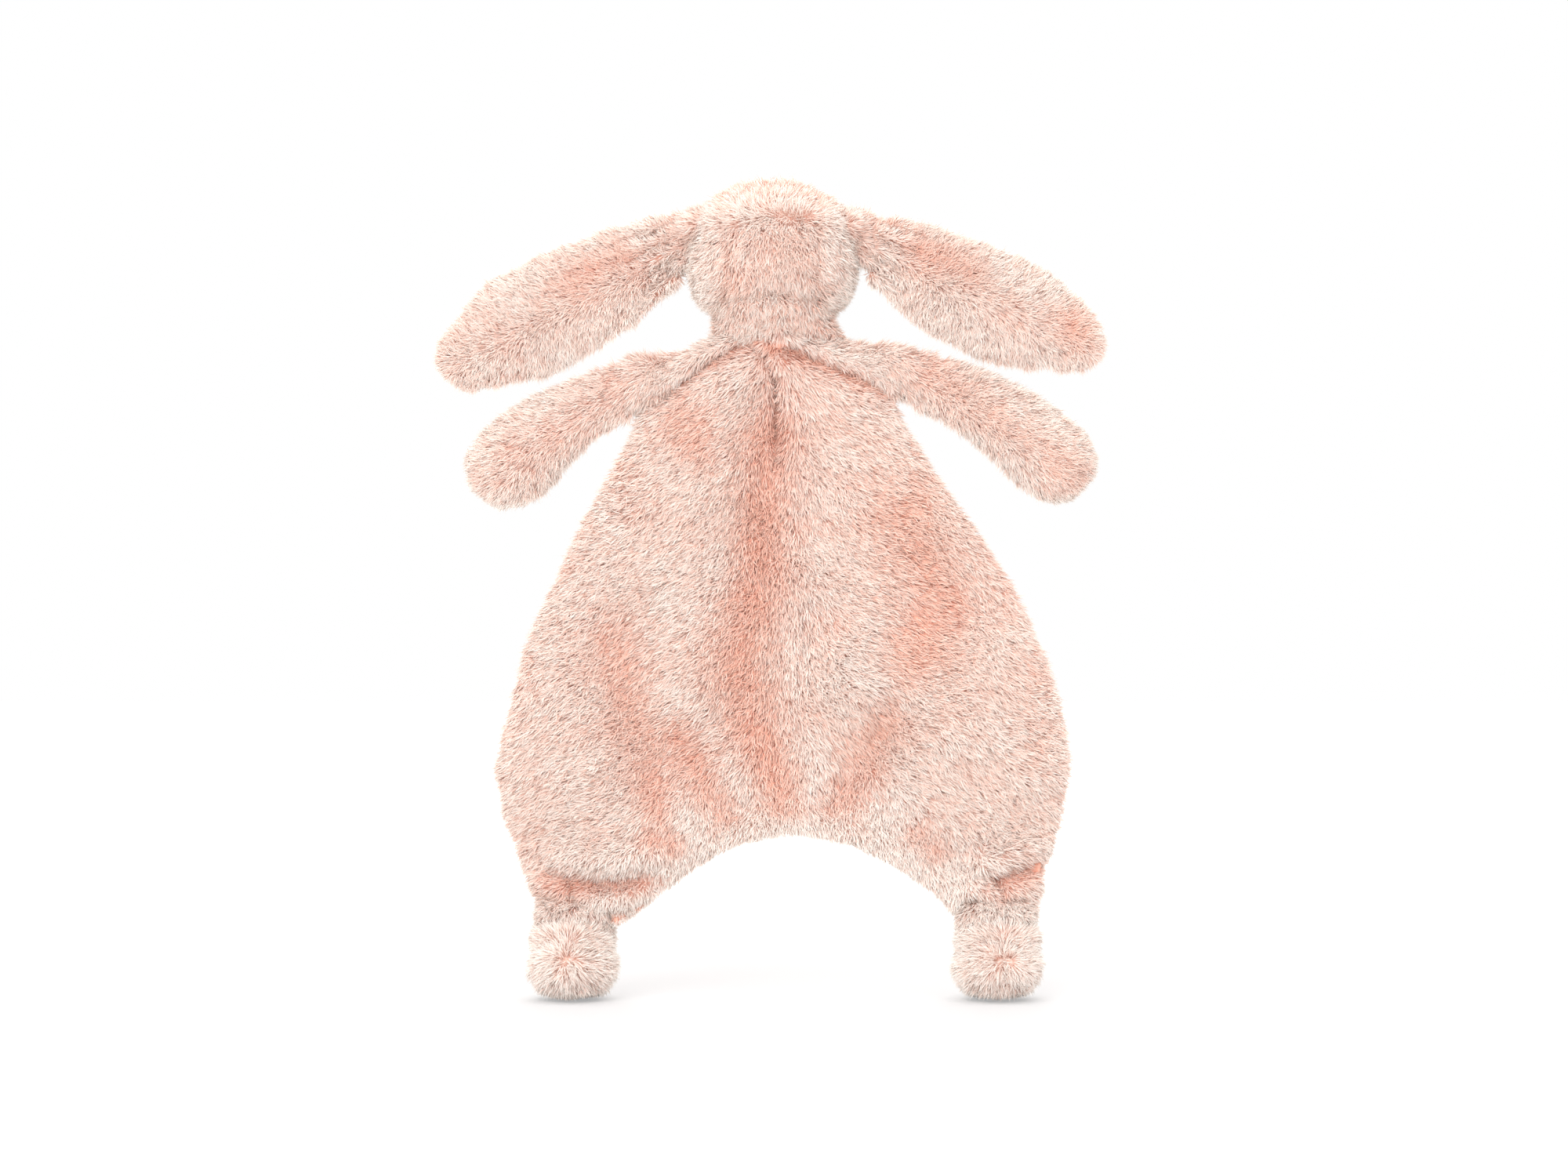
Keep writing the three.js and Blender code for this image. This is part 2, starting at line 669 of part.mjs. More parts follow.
function faceStitches() {
  return [
    seatOnFace(piece("eye_left", eye(), eyeThread, threadRoughness), eyeSide, eyeAboveNeck),
    seatOnFace(piece("eye_right", eye(), eyeThread, threadRoughness), -eyeSide, eyeAboveNeck),
    seatOnFace(piece("nose", nose(), noseThread, threadRoughness), 0, noseAboveNeck),
    seatOnFace(piece("mouth_stitch", mouth(), noseThread, threadRoughness), 0, mouthAboveNeck),
  ];
}

// Limb along a middle line in the toy's flat plane, with oval rings and a round end, measured from its root
function limbForm(limb, inset) {
  const { side, reach, drop, line, halfWidth, widths, halfThickness, thicks, round, sides, rows } = limb;
  const route = new THREE.CatmullRomCurve3(line.map(([out, down]) => vector(side * reach * out, 0, -drop * down)));
  const length = route.getLength();
  const tip = length - inset;
  const roundLength = round - inset;
  const straight = Array.from({ length: rows }, (none, at) => ((tip - roundLength) * at) / rows);
  const curved = Array.from({ length: roundRows }, (none, at) => (
    tip - roundLength * (1 - Math.sin((Math.PI / 2) * (at / roundRows)))
  ));
  const rings = [...straight, ...curved].map((distance) => {
    const share = distance / length;
    const middle = route.getPointAt(share);
    const across = new THREE.Vector3().crossVectors(route.getTangentAt(share), vector(0, 1, 0));
    const end = rounding((tip - distance) / roundLength);
    const wide = (halfWidth * along(widths, share) - inset) * end;
    const thick = (halfThickness * along(thicks, share) - inset) * end;
    return Array.from({ length: sides }, (none, at) => {
      const turn = (2 * Math.PI * at) / sides;
      const point = middle.clone().addScaledVector(across, wide * Math.cos(turn));
      return point.setY(thick * Math.sin(turn));
    });
  });
  return skin(rings, route.getPointAt(tip / length));
}

function backHalf(solid) {
  return solid.intersect(block(vector(-toyHeight, gap / 2, -toyHeight), vector(toyHeight, toyHeight, toyHeight)));
}

function frontHalf(solid) {
  return solid.intersect(block(vector(-toyHeight, -toyHeight, -toyHeight), vector(toyHeight, -gap / 2, toyHeight)));
}

const earShape = {
  halfWidth: earHalfWidth,
  widths: earWidthShares,
  halfThickness: earHalfThickness,
  thicks: earThickShares,
  round: earRound,
  sides: earSides,
  rows: earRows,
};

function ear(name, side, aboveNeck, reach, drop, line) {
  const form = limbForm({ ...earShape, side, reach, drop, line }, 0)
    .add(rod(earHingeRadius, earRootHalfHeight, centre, upright));
  return groupAt(vector(side * earRootSide, 0, neckHeight + aboveNeck), [
    piece(`${name}_outer`, backHalf(form), blush),
    piece(`${name}_lining`, frontHalf(form), blushPale),
  ]);
}

const armShape = {
  halfWidth: pawHalfWidth,
  widths: armWidthShares,
  halfThickness: pawHalfThickness,
  thicks: armThickShares,
  round: pawRound,
  sides: armSides,
  rows: armRows,
};

function arm(name, side, shoulder, reach, drop, line) {
  const shape = { ...armShape, side, reach, drop, line };
  const stuffed = block(vector(-toyHeight, -toyHeight, -toyHeight), vector(toyHeight, toyHeight, toyHeight))
    .subtract(rod(shoulderTaper, toyHeight, centre, shoulder.seam));
  const cover = limbForm(shape, 0)
    .add(rod(armHingeRadius, armRootHalfWidth, centre, shoulder.seam))
    .subtract(limbForm(shape, clothWall).intersect(stuffed));
  const room = rod(shoulderTaper + gap, toyHeight, centre, shoulder.seam);
  return groupAt(shoulder.middle, [
    piece(`${name}_back_cover`, backHalf(cover), blush),
    piece(`${name}_front_cover`, frontHalf(cover), blushLight),
    piece(`${name}_filling`, limbForm(shape, clothWall + gap).subtract(room), wadding),
  ]);
}

// Foot, measured from the ankle: a squarish egg on a flattened sole
const footTop = -footTopRoom;
const footBottom = -ankleHeight - footSoleCut;

function footForm(inset) {
  const halfHeight = (footTop - footBottom) / 2 - inset;
  const middle = (footTop + footBottom) / 2;
  const power = 2 / footSquareness;
  const rings = Array.from({ length: footRows }, (none, row) => {
    const climb = Math.PI * (row / footRows - 0.5);
    const sole = climb < 0 ? soleShare : 0;
    const wideShare = sole + (1 - sole) * Math.max(Math.cos(climb), 0) ** power;
    const height = middle + halfHeight * Math.sign(climb) * Math.abs(Math.sin(climb)) ** power;
    return Array.from({ length: footSides }, (nothing, side) => {
      const turn = (2 * Math.PI * side) / footSides;
      const wide = (footHalfWidth - inset) * wideShare * Math.cos(turn);
      return vector(wide, (footHalfDepth - inset) * wideShare * Math.sin(turn), height);
    });
  });
  return skin(rings, vector(0, 0, middle + halfHeight));
}

function foot(name, ankle) {
  const stem = (room) => rod(footStemRadius + room, footTopRoom + 2 * clothWall, centre, upright)
    .subtract(block(vector(-overrun, -overrun, 0), vector(overrun, overrun, overrun)));
  const nub = (room) => ball(footNubRadius + room, centre);
  const cover = footForm(0)
    .subtract(below(-ankleHeight))
    .subtract(footForm(clothWall))
    .subtract(stem(gap))
    .subtract(nub(gap));
  const filling = footForm(clothWall + gap).add(stem(0)).add(nub(0));
  return groupAt(ankle, [piece(`${name}_cover`, cover, blush), piece(`${name}_filling`, filling, wadding)]);
}

const toy = new THREE.Group();
toy.add(...bodyPieces());
toy.add(ankleThread("ankle_thread_left", leftAnkle), ankleThread("ankle_thread_right", rightAnkle));
toy.add(groupAt(neck, neckPieces()));
toy.add(groupAt(neck, headPieces()));
toy.add(ear("ear_left", 1, earLeftAboveNeck, earLeftReach, earLeftDrop, earLeftLineShares));
toy.add(ear("ear_right", -1, earRightAboveNeck, earRightReach, earRightDrop, earRightLineShares));
toy.add(arm("arm_left", 1, leftShoulder, armLeftReach, armLeftDrop, armLeftLineShares));
toy.add(arm("arm_right", -1, rightShoulder, armRightReach, armRightDrop, armRightLineShares));
toy.add(foot("foot_left", leftAnkle), foot("foot_right", rightAnkle));

export default toy;
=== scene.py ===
import math

import bmesh
import bpy
import numpy as np
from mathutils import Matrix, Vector
from mathutils.bvhtree import BVHTree


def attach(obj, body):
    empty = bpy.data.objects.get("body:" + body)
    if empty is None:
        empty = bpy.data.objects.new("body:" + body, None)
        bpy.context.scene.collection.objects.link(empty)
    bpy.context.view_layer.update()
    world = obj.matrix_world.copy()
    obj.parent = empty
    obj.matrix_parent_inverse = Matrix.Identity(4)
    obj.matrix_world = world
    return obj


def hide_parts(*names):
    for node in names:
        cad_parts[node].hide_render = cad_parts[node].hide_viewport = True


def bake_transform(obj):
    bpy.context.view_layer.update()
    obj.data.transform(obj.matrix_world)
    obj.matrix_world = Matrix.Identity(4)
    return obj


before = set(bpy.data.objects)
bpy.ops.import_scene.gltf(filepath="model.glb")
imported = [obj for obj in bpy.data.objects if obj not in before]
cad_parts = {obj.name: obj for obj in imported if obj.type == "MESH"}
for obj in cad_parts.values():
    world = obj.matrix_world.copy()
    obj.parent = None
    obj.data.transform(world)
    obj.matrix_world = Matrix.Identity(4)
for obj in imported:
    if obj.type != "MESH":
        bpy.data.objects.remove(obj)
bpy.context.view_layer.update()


# Camera, floor and light. The photograph looks level at the toy's back through a long lens,
# on white, under a broad soft light from above.
scene = bpy.context.scene
scene.view_settings.view_transform = "Standard"
photo_pixel = 0.0003238
photo_width = 2000 * photo_pixel
photo_middle_x = -0.0049
photo_middle_z = 0.17
lens = 85
film = 36
camera = bpy.data.objects.new("camera", bpy.data.cameras.new("camera"))
camera.data.lens = lens
camera.data.sensor_width = film
camera.location = (photo_middle_x, photo_width * lens / film, photo_middle_z)
camera.rotation_euler = (math.pi / 2, 0, math.pi)
scene.collection.objects.link(camera)
scene.camera = camera

floor_reach = 4
corners = [(floor_reach * x, floor_reach * y, 0) for x, y in ((-1, -1), (1, -1), (1, 1), (-1, 1))]
floor_mesh = bpy.data.meshes.new("floor")
floor_mesh.from_pydata(corners, [], [(0, 1, 2, 3)])
floor = bpy.data.objects.new("floor", floor_mesh)
scene.collection.objects.link(floor)

# To the camera the floor glows, more so away from the toy, and keeps only the toy's soft shadow.
# To all other rays it is plain pale paint.
white_floor = bpy.data.materials.new("white_floor")
white_floor.use_nodes = True
tree = white_floor.node_tree
tree.nodes.clear()
rays = tree.nodes.new("ShaderNodeLightPath")
paint = tree.nodes.new("ShaderNodeBsdfDiffuse")
paint.inputs["Color"].default_value = (0.8, 0.8, 0.8, 1)
faint_paint = tree.nodes.new("ShaderNodeBsdfDiffuse")
faint_paint.inputs["Color"].default_value = (0.46, 0.46, 0.46, 1)
glow = tree.nodes.new("ShaderNodeEmission")
place = tree.nodes.new("ShaderNodeTexCoord")
distance = tree.nodes.new("ShaderNodeVectorMath")
distance.operation = "LENGTH"
whiter = tree.nodes.new("ShaderNodeMapRange")
for label, value in (("From Min", 0.18), ("From Max", 0.7), ("To Min", 0.38), ("To Max", 0.85)):
    whiter.inputs[label].default_value = value
tree.links.new(place.outputs["Object"], distance.inputs[0])
tree.links.new(distance.outputs["Value"], whiter.inputs["Value"])
tree.links.new(whiter.outputs[0], glow.inputs["Strength"])
seen = tree.nodes.new("ShaderNodeAddShader")
choice = tree.nodes.new("ShaderNodeMixShader")
surface = tree.nodes.new("ShaderNodeOutputMaterial")
tree.links.new(faint_paint.outputs[0], seen.inputs[0])
tree.links.new(glow.outputs[0], seen.inputs[1])
tree.links.new(rays.outputs["Is Camera Ray"], choice.inputs[0])
tree.links.new(paint.outputs[0], choice.inputs[1])
tree.links.new(seen.outputs[0], choice.inputs[2])
tree.links.new(choice.outputs[0], surface.inputs["Surface"])
floor.data.materials.append(white_floor)

# The room lights the toy evenly. The camera, mirrors and glass see plain white in its place.
studio = bpy.data.worlds.new("studio")
studio.use_nodes = True
scene.world = studio
tree = studio.node_tree
tree.nodes.clear()
rays = tree.nodes.new("ShaderNodeLightPath")
either = tree.nodes.new("ShaderNodeMath")
either.operation = "MAXIMUM"
any_of = tree.nodes.new("ShaderNodeMath")
any_of.operation = "MAXIMUM"
room = tree.nodes.new("ShaderNodeBackground")
room.inputs["Color"].default_value = (0.98, 0.958, 0.965, 1)
room.inputs["Strength"].default_value = 0.98
white = tree.nodes.new("ShaderNodeBackground")
white.inputs["Strength"].default_value = 1
white.inputs["Color"].default_value = (1, 1, 1, 1)
choice = tree.nodes.new("ShaderNodeMixShader")
surface = tree.nodes.new("ShaderNodeOutputWorld")
tree.links.new(rays.outputs["Is Camera Ray"], either.inputs[0])
tree.links.new(rays.outputs["Is Glossy Ray"], either.inputs[1])
tree.links.new(either.outputs[0], any_of.inputs[0])
tree.links.new(rays.outputs["Is Transmission Ray"], any_of.inputs[1])
tree.links.new(any_of.outputs[0], choice.inputs[0])
tree.links.new(room.outputs[0], choice.inputs[1])
tree.links.new(white.outputs[0], choice.inputs[2])
tree.links.new(choice.outputs[0], surface.inputs["Surface"])

for label, place, tilt, swing, width, power, tint in (
    ("top_light", (0, 0.15, 1.3), 0, 0, 1.4, 9, (1, 0.99, 0.97)),
    ("back_light", (0.5, 1.5, 0.9), -62, -18, 1.0, 12.5, (1, 0.99, 0.98)),
    ("front_light", (0, -1.6, 0.9), 64, 0, 1.2, 12, (1, 0.99, 0.98)),
):
    lamp = bpy.data.objects.new(label, bpy.data.lights.new(label, "AREA"))
    lamp.data.size = width
    lamp.data.energy = power
    lamp.data.color = tint
    lamp.location = place
    lamp.rotation_euler = (math.radians(tilt), 0, math.radians(swing))
    scene.collection.objects.link(lamp)


# Blanket body. Two flat layers of long-pile plush, each cut as a left and a right panel, are sewn
# together round the edge without stuffing. The cloth hangs in soft folds from the shoulders.
def plush_skin(name, nodes, grain, pile_height, spread, extra=()):
    """The cloth under the pile: the CAD solids joined, smoothed and drawn in by the pile's height.

    Grain is the size of the cells it is rebuilt from. Spread gives the outline back what the
    smoothing takes from the thin edges. Extra holds lumps, each a middle and three radii."""
    form = bmesh.new()
    for node in nodes:
        form.from_mesh(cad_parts[node].data)
    touching = 0.00001
    bmesh.ops.remove_doubles(form, verts=form.verts, dist=touching)
    for place, radii in extra:
        lump = bmesh.ops.create_icosphere(form, subdivisions=3, radius=1)["verts"]
        bmesh.ops.scale(form, vec=radii, verts=lump)
        bmesh.ops.translate(form, vec=place, verts=lump)
    mesh = bpy.data.meshes.new(name)
    form.to_mesh(mesh)
    form.free()
    skin = bpy.data.objects.new(name, mesh)
    scene.collection.objects.link(skin)

    def close(size):
        closing = skin.modifiers.new("close", "REMESH")
        closing.mode = "VOXEL"
        closing.voxel_size = size

    def smooth(times):
        smoothing = skin.modifiers.new("smooth", "SMOOTH")
        smoothing.factor = 0.5
        smoothing.iterations = times

    close(grain)
    smooth(6)
    rounds = 6
    for _ in range(rounds):
        drawing_in = skin.modifiers.new("draw_in", "DISPLACE")
        drawing_in.mid_level = 0
        drawing_in.strength = -pile_height / rounds
        smooth(1)
    close(grain * 0.9)
    smooth(5)
    finished = settle(skin, name)
    bpy.data.meshes.remove(mesh)
    move_points(finished, places_of(finished) + facings_of(finished) * (spread, 0, spread))
    return skin


def settle(thing, name):
    """Makes what the modifiers show the thing's own mesh, and takes the modifiers off."""
    bpy.context.view_layer.update()
    shown = thing.evaluated_get(bpy.context.evaluated_depsgraph_get())
    settled = bpy.data.meshes.new_from_object(shown)
    settled.name = name
    thing.modifiers.clear()
    thing.data = settled
    return settled


def places_of(mesh):
    places = np.empty(len(mesh.vertices) * 3)
    mesh.vertices.foreach_get("co", places)
    return places.reshape(-1, 3)


def facings_of(mesh):
    facings = np.empty(len(mesh.vertices) * 3)
    mesh.vertex_normals.foreach_get("vector", facings)
    return facings.reshape(-1, 3)


def move_points(mesh, places):
    mesh.vertices.foreach_set("co", places.astype(np.float32).ravel())
    mesh.update()


def near(value, middle, width):
    """1 where the value is at the middle, fading to 0 over the width."""
    return np.exp(-(((value - middle) / width) ** 2))


def near_line(x, z, points, width):
    """How near each place is to a line across the cloth: 1 on it, fading over its width."""
    nearest = np.full(len(x), 1e9)
    for (x0, z0), (x1, z1) in zip(points, points[1:]):
        run, rise = x1 - x0, z1 - z0
        share = np.clip(((x - x0) * run + (z - z0) * rise) / (run * run + rise * rise), 0, 1)
        nearest = np.minimum(nearest, np.hypot(x - x0 - share * run, z - z0 - share * rise))
    return near(nearest, 0, width)


def ease(value, low, high):
    """0 at low and 1 at high, with a soft start and end. Low may be the greater of the two."""
    share = np.clip((value - low) / (high - low), 0, 1)
    return share * share * (3 - 2 * share)


def comb(mesh, flow, length=1, shade=0.5, lift=0.5):
    """Sets which way the pile lies, its length, its shade and how far it stands up.

    All pile hangs a little, and at the outline it stands up more and gets a painted highlight that
    makes it paler."""
    droop = (0, 0, -0.12)
    painted_rim_light = 0.24
    fuller_edge = 0.12
    count = len(mesh.vertices)
    facings = facings_of(mesh)
    flow = flow / np.maximum(np.linalg.norm(flow, axis=1, keepdims=True), 1e-9)
    flow = flow + droop
    flow = flow - facings * np.sum(flow * facings, axis=1, keepdims=True)
    flow = flow / np.maximum(np.linalg.norm(flow, axis=1, keepdims=True), 1e-9)
    edge = (1 - np.abs(facings[:, 1])) ** 2
    # Painted highlight: pile that faces sideways is made paler.
    shade = shade + painted_rim_light * edge
    lift = lift + fuller_edge * edge
    ways = mesh.attributes.new("flow", "FLOAT_VECTOR", "POINT")
    ways.data.foreach_set("vector", flow.astype(np.float32).ravel())
    for label, value in (("length", length), ("shade", shade), ("lift", lift)):
        filled = np.ascontiguousarray(np.broadcast_to(value, count).astype(np.float32))
        mesh.attributes.new(label, "FLOAT", "POINT").data.foreach_set("value", filled)


def smooth_faces(mesh):
    for face in mesh.polygons:
        face.use_smooth = True


def cut_out(skin, name, chosen):
    """A panel of the skin: a new object with only the chosen faces."""
    form = bmesh.new()
    form.from_mesh(skin.data)
    form.faces.ensure_lookup_table()
    others = [form.faces[int(i)] for i in np.flatnonzero(~chosen)]
    bmesh.ops.delete(form, geom=others, context="FACES")
    mesh = bpy.data.meshes.new(name)
    form.to_mesh(mesh)
    form.free()
    smooth_faces(mesh)
    panel = bpy.data.objects.new(name, mesh)
    scene.collection.objects.link(panel)
    return panel


def face_middles(mesh):
    middles = np.empty(len(mesh.polygons) * 3)
    mesh.polygons.foreach_get("center", middles)
    return middles.reshape(-1, 3)


# The plush's pile. One hair is a blade of two triangles, one unit long and bent towards its tip.
# The tree below plants it all over a piece of cloth, combed the way the cloth says.
hair_points = [(0, 0, 0), (0.06, -0.5, 0.5), (0.06, 0.5, 0.5), (0.3, 0, 0.95)]
hair_mesh = bpy.data.meshes.new("hair")
hair_mesh.from_pydata(hair_points, [], [(0, 2, 1), (1, 2, 3)])
hair_mesh.attributes.new("reach", "FLOAT", "POINT").data.foreach_set("value", [0, 0.5, 0.5, 1])
hair = bpy.data.objects.new("hair", hair_mesh)
scene.collection.objects.link(hair)

pile_tree = bpy.data.node_groups.new("pile", "GeometryNodeTree")
pile_inputs = {}
for label, kind in (
    ("Cloth", "Geometry"),
    ("Hairs per square metre", "Float"),
    ("Hair length", "Float"),
    ("Hair width", "Float"),
    ("Clump strength", "Float"),
    ("Clump size", "Float"),
    ("Swirl strength", "Float"),
    ("Swirl size", "Float"),
    ("Unruliness", "Float"),
    ("Shade spread", "Float"),
    ("Seed", "Int"),
    ("Plush", "Material"),
):
    socket = pile_tree.interface.new_socket(label, in_out="INPUT", socket_type=f"NodeSocket{kind}")
    pile_inputs[label] = socket.identifier
pile_tree.interface.new_socket("Pile", in_out="OUTPUT", socket_type="NodeSocketGeometry")


def pile_node(kind, *inputs, **settings):
    """A node of the pile's tree. Inputs are pairs of a socket and what goes into it."""
    node = pile_tree.nodes.new(kind)
    for label, value in settings.items():
        setattr(node, label, value)
    for socket, value in inputs:
        if isinstance(value, bpy.types.NodeSocket):
            pile_tree.links.new(value, node.inputs[socket])
        else:
            node.inputs[socket].default_value = value
    return node


def vector_sum(a, b):
    return pile_node("ShaderNodeVectorMath", (0, a), (1, b), operation="ADD").outputs[0]


def vector_times(a, factor):
    node = pile_node("ShaderNodeVectorMath", (0, a), ("Scale", factor), operation="SCALE")
    return node.outputs[0]


def number(operation, a, b):
    return pile_node("ShaderNodeMath", (0, a), (1, b), operation=operation).outputs[0]


def cloth_value(label, kind="FLOAT"):
    """What the cloth was combed with, or what a hair was given, under this label."""
    node = pile_node("GeometryNodeInputNamedAttribute", ("Name", label), data_type=kind)
    return node.outputs["Attribute"]


def chance(low, high, seed_step):
    """A number between low and high, another one for each hair."""
    seed = number("ADD", given["Seed"], seed_step)
    node = pile_node(
        "FunctionNodeRandomValue",
        (2, low),
        (3, high),
        ("Seed", seed),
        data_type="FLOAT",
    )
    return node.outputs[1]


def chance_way(seed_step):
    """A direction with each part between -1 and 1, another one for each hair."""
    seed = number("ADD", given["Seed"], seed_step)
    node = pile_node(
        "FunctionNodeRandomValue",
        (0, (-1, -1, -1)),
        (1, (1, 1, 1)),
        ("Seed", seed),
        data_type="FLOAT_VECTOR",
    )
    return node.outputs[0]


given = pile_node("NodeGroupInput").outputs
scattered = pile_node(
    "GeometryNodeDistributePointsOnFaces",
    ("Mesh", given["Cloth"]),
    ("Density", given["Hairs per square metre"]),
    ("Seed", given["Seed"]),
    distribute_method="RANDOM",
)
outward = scattered.outputs["Normal"]
flow = cloth_value("flow", "FLOAT_VECTOR")
standing = cloth_value("lift")
lying = number("SUBTRACT", 1.0, standing)
leaning = vector_sum(vector_times(outward, standing), vector_times(flow, lying))
for strength, size in (("Clump strength", "Clump size"), ("Swirl strength", "Swirl size")):
    per_metre = number("DIVIDE", 1.0, given[size])
    noise = pile_node("ShaderNodeTexNoise", ("Scale", per_metre), ("Detail", 1.0))
    drift = vector_sum(noise.outputs["Color"], (-0.5, -0.5, -0.5))
    leaning = vector_sum(leaning, vector_times(drift, given[strength]))
ruffled = vector_sum(leaning, vector_times(chance_way(seed_step=1), given["Unruliness"]))
towards_cloth = vector_sum(flow, vector_times(outward, -0.6))
bend = vector_sum(towards_cloth, vector_times(chance_way(seed_step=2), 1.3))
turned = pile_node(
    "FunctionNodeAxesToRotation",
    ("Primary Axis", ruffled),
    ("Secondary Axis", bend),
    primary_axis="Z",
    secondary_axis="X",
)
combed_long = number("MULTIPLY", given["Hair length"], cloth_value("length"))
long = number("MULTIPLY", combed_long, chance(0.7, 1.15, seed_step=3))
wide = number("MULTIPLY", given["Hair width"], chance(0.7, 1.3, seed_step=4))
stretch = pile_node("ShaderNodeCombineXYZ", (0, long), (1, wide), (2, long))
patches_per_metre = 70.0
patch_contrast = 0.6
patch_noise = pile_node("ShaderNodeTexNoise", ("Scale", patches_per_metre), ("Detail", 3.0))
patchy = number("MULTIPLY", number("SUBTRACT", patch_noise.outputs["Fac"], 0.5), patch_contrast)
own_shade = number("MULTIPLY", chance(-0.5, 0.5, seed_step=5), given["Shade spread"])
tone = number("ADD", number("ADD", cloth_value("shade"), patchy), own_shade)
toned = pile_node(
    "GeometryNodeStoreNamedAttribute",
    ("Geometry", scattered.outputs["Points"]),
    ("Name", "tone"),
    ("Value", tone),
    data_type="FLOAT",
    domain="POINT",
)
one_hair = pile_node("GeometryNodeObjectInfo", ("Object", hair))
planted = pile_node(
    "GeometryNodeInstanceOnPoints",
    ("Points", toned.outputs["Geometry"]),
    ("Instance", one_hair.outputs["Geometry"]),
    ("Rotation", turned.outputs[0]),
    ("Scale", stretch.outputs[0]),
)
real = pile_node("GeometryNodeRealizeInstances", ("Geometry", planted.outputs["Instances"]))
margin = 0.02
deep_to_pale = pile_node("ShaderNodeClamp", (0, cloth_value("tone")), (1, margin), (2, 1 - margin))
root_to_tip = pile_node(
    "ShaderNodeMath",
    (0, cloth_value("reach")),
    (1, 1 - 2 * margin),
    (2, margin),
    operation="MULTIPLY_ADD",
)
shade_place = pile_node(
    "ShaderNodeCombineXYZ",
    (0, deep_to_pale.outputs[0]),
    (1, root_to_tip.outputs[0]),
)
mapped = pile_node(
    "GeometryNodeStoreNamedAttribute",
    ("Geometry", real.outputs["Geometry"]),
    ("Name", "OFBake"),
    ("Value", shade_place.outputs[0]),
    data_type="FLOAT2",
    domain="CORNER",
)
dyed = pile_node(
    "GeometryNodeSetMaterial",
    ("Geometry", mapped.outputs["Geometry"]),
    ("Material", given["Plush"]),
)
pile_node("NodeGroupOutput", (0, dyed.outputs["Geometry"]))


def colour(red, green, blue):
    """A colour from 0 to 255, as it is read off a picture, turned from sRGB to linear light."""

    def linear(value):
        share = value / 255
        return share / 12.92 if share <= 0.04045 else ((share + 0.055) / 1.055) ** 2.4

    return (linear(red), linear(green), linear(blue), 1)


def ramp_between(tree, share, low, high, start=0.0, end=1.0):
    """The colour that changes from low to high as the share goes from start to end."""
    ramp = tree.nodes.new("ShaderNodeValToRGB")
    ramp.color_ramp.elements[0].color = low
    ramp.color_ramp.elements[0].position = start
    ramp.color_ramp.elements[1].color = high
    ramp.color_ramp.elements[1].position = end
    tree.links.new(share, ramp.inputs[0])
    return ramp.outputs[0]


def raise_threads(tree, shader, height, strength, depth):
    bump = tree.nodes.new("ShaderNodeBump")
    bump.inputs["Strength"].default_value = strength
    bump.inputs["Distance"].default_value = depth
    tree.links.new(height, bump.inputs["Height"])
    tree.links.new(bump.outputs[0], shader.inputs["Normal"])


def pile_dye(name, root_deep, tip_deep, root_pale, tip_pale):
    """Colour of the hairs: from root to tip up the map, and from deep to pale across it."""
    dye = bpy.data.materials.new(name)
    dye.use_nodes = True
    tree = dye.node_tree
    shader = tree.nodes["Principled BSDF"]
    shader.inputs["Roughness"].default_value = 0.85
    shader.inputs["Specular IOR Level"].default_value = 0.2
    shader.inputs["Sheen Weight"].default_value = 0.6
    shader.inputs["Sheen Roughness"].default_value = 0.5
    shader.inputs["Sheen Tint"].default_value = (1, 0.9, 0.84, 1)
    place = tree.nodes.new("ShaderNodeUVMap")
    place.uv_map = "OFBake"
    split = tree.nodes.new("ShaderNodeSeparateXYZ")
    tree.links.new(place.outputs[0], split.inputs[0])
    mix = tree.nodes.new("ShaderNodeMix")
    mix.data_type = "RGBA"
    tree.links.new(split.outputs[0], mix.inputs[0])
    colour_a, colour_b, mixed = mix.inputs[6], mix.inputs[7], mix.outputs[2]
    for root, tip, socket in ((root_deep, tip_deep, colour_a), (root_pale, tip_pale, colour_b)):
        tree.links.new(ramp_between(tree, split.outputs[1], root, tip, 0.1, 0.85), socket)
    tree.links.new(mixed, shader.inputs["Base Color"])
    return dye


def cloth_dye(name, dark, light):
    """Knitted backing of the plush, mottled where the pile is thin."""
    grains_per_metre = 900
    dye = bpy.data.materials.new(name)
    dye.use_nodes = True
    tree = dye.node_tree
    shader = tree.nodes["Principled BSDF"]
    shader.inputs["Roughness"].default_value = 0.95
    shader.inputs["Specular IOR Level"].default_value = 0.1
    place = tree.nodes.new("ShaderNodeTexCoord")
    noise = tree.nodes.new("ShaderNodeTexNoise")
    noise.inputs["Scale"].default_value = grains_per_metre
    noise.inputs["Detail"].default_value = 4
    tree.links.new(place.outputs["Object"], noise.inputs["Vector"])
    mottled = ramp_between(tree, noise.outputs["Fac"], dark, light, 0.35, 0.65)
    tree.links.new(mottled, shader.inputs["Base Color"])
    raise_threads(tree, shader, noise.outputs["Fac"], strength=0.6, depth=0.0006)
    return dye


blush_pile = pile_dye(
    "blush_pile",
    root_deep=colour(245, 156, 124),
    tip_deep=colour(250, 206, 186),
    root_pale=colour(246, 207, 191),
    tip_pale=colour(252, 249, 243),
)
blush_backing = cloth_dye("blush_backing", colour(245, 177, 152), colour(249, 202, 183))
pale_backing = cloth_dye("pale_backing", colour(246, 198, 180), colour(250, 220, 206))


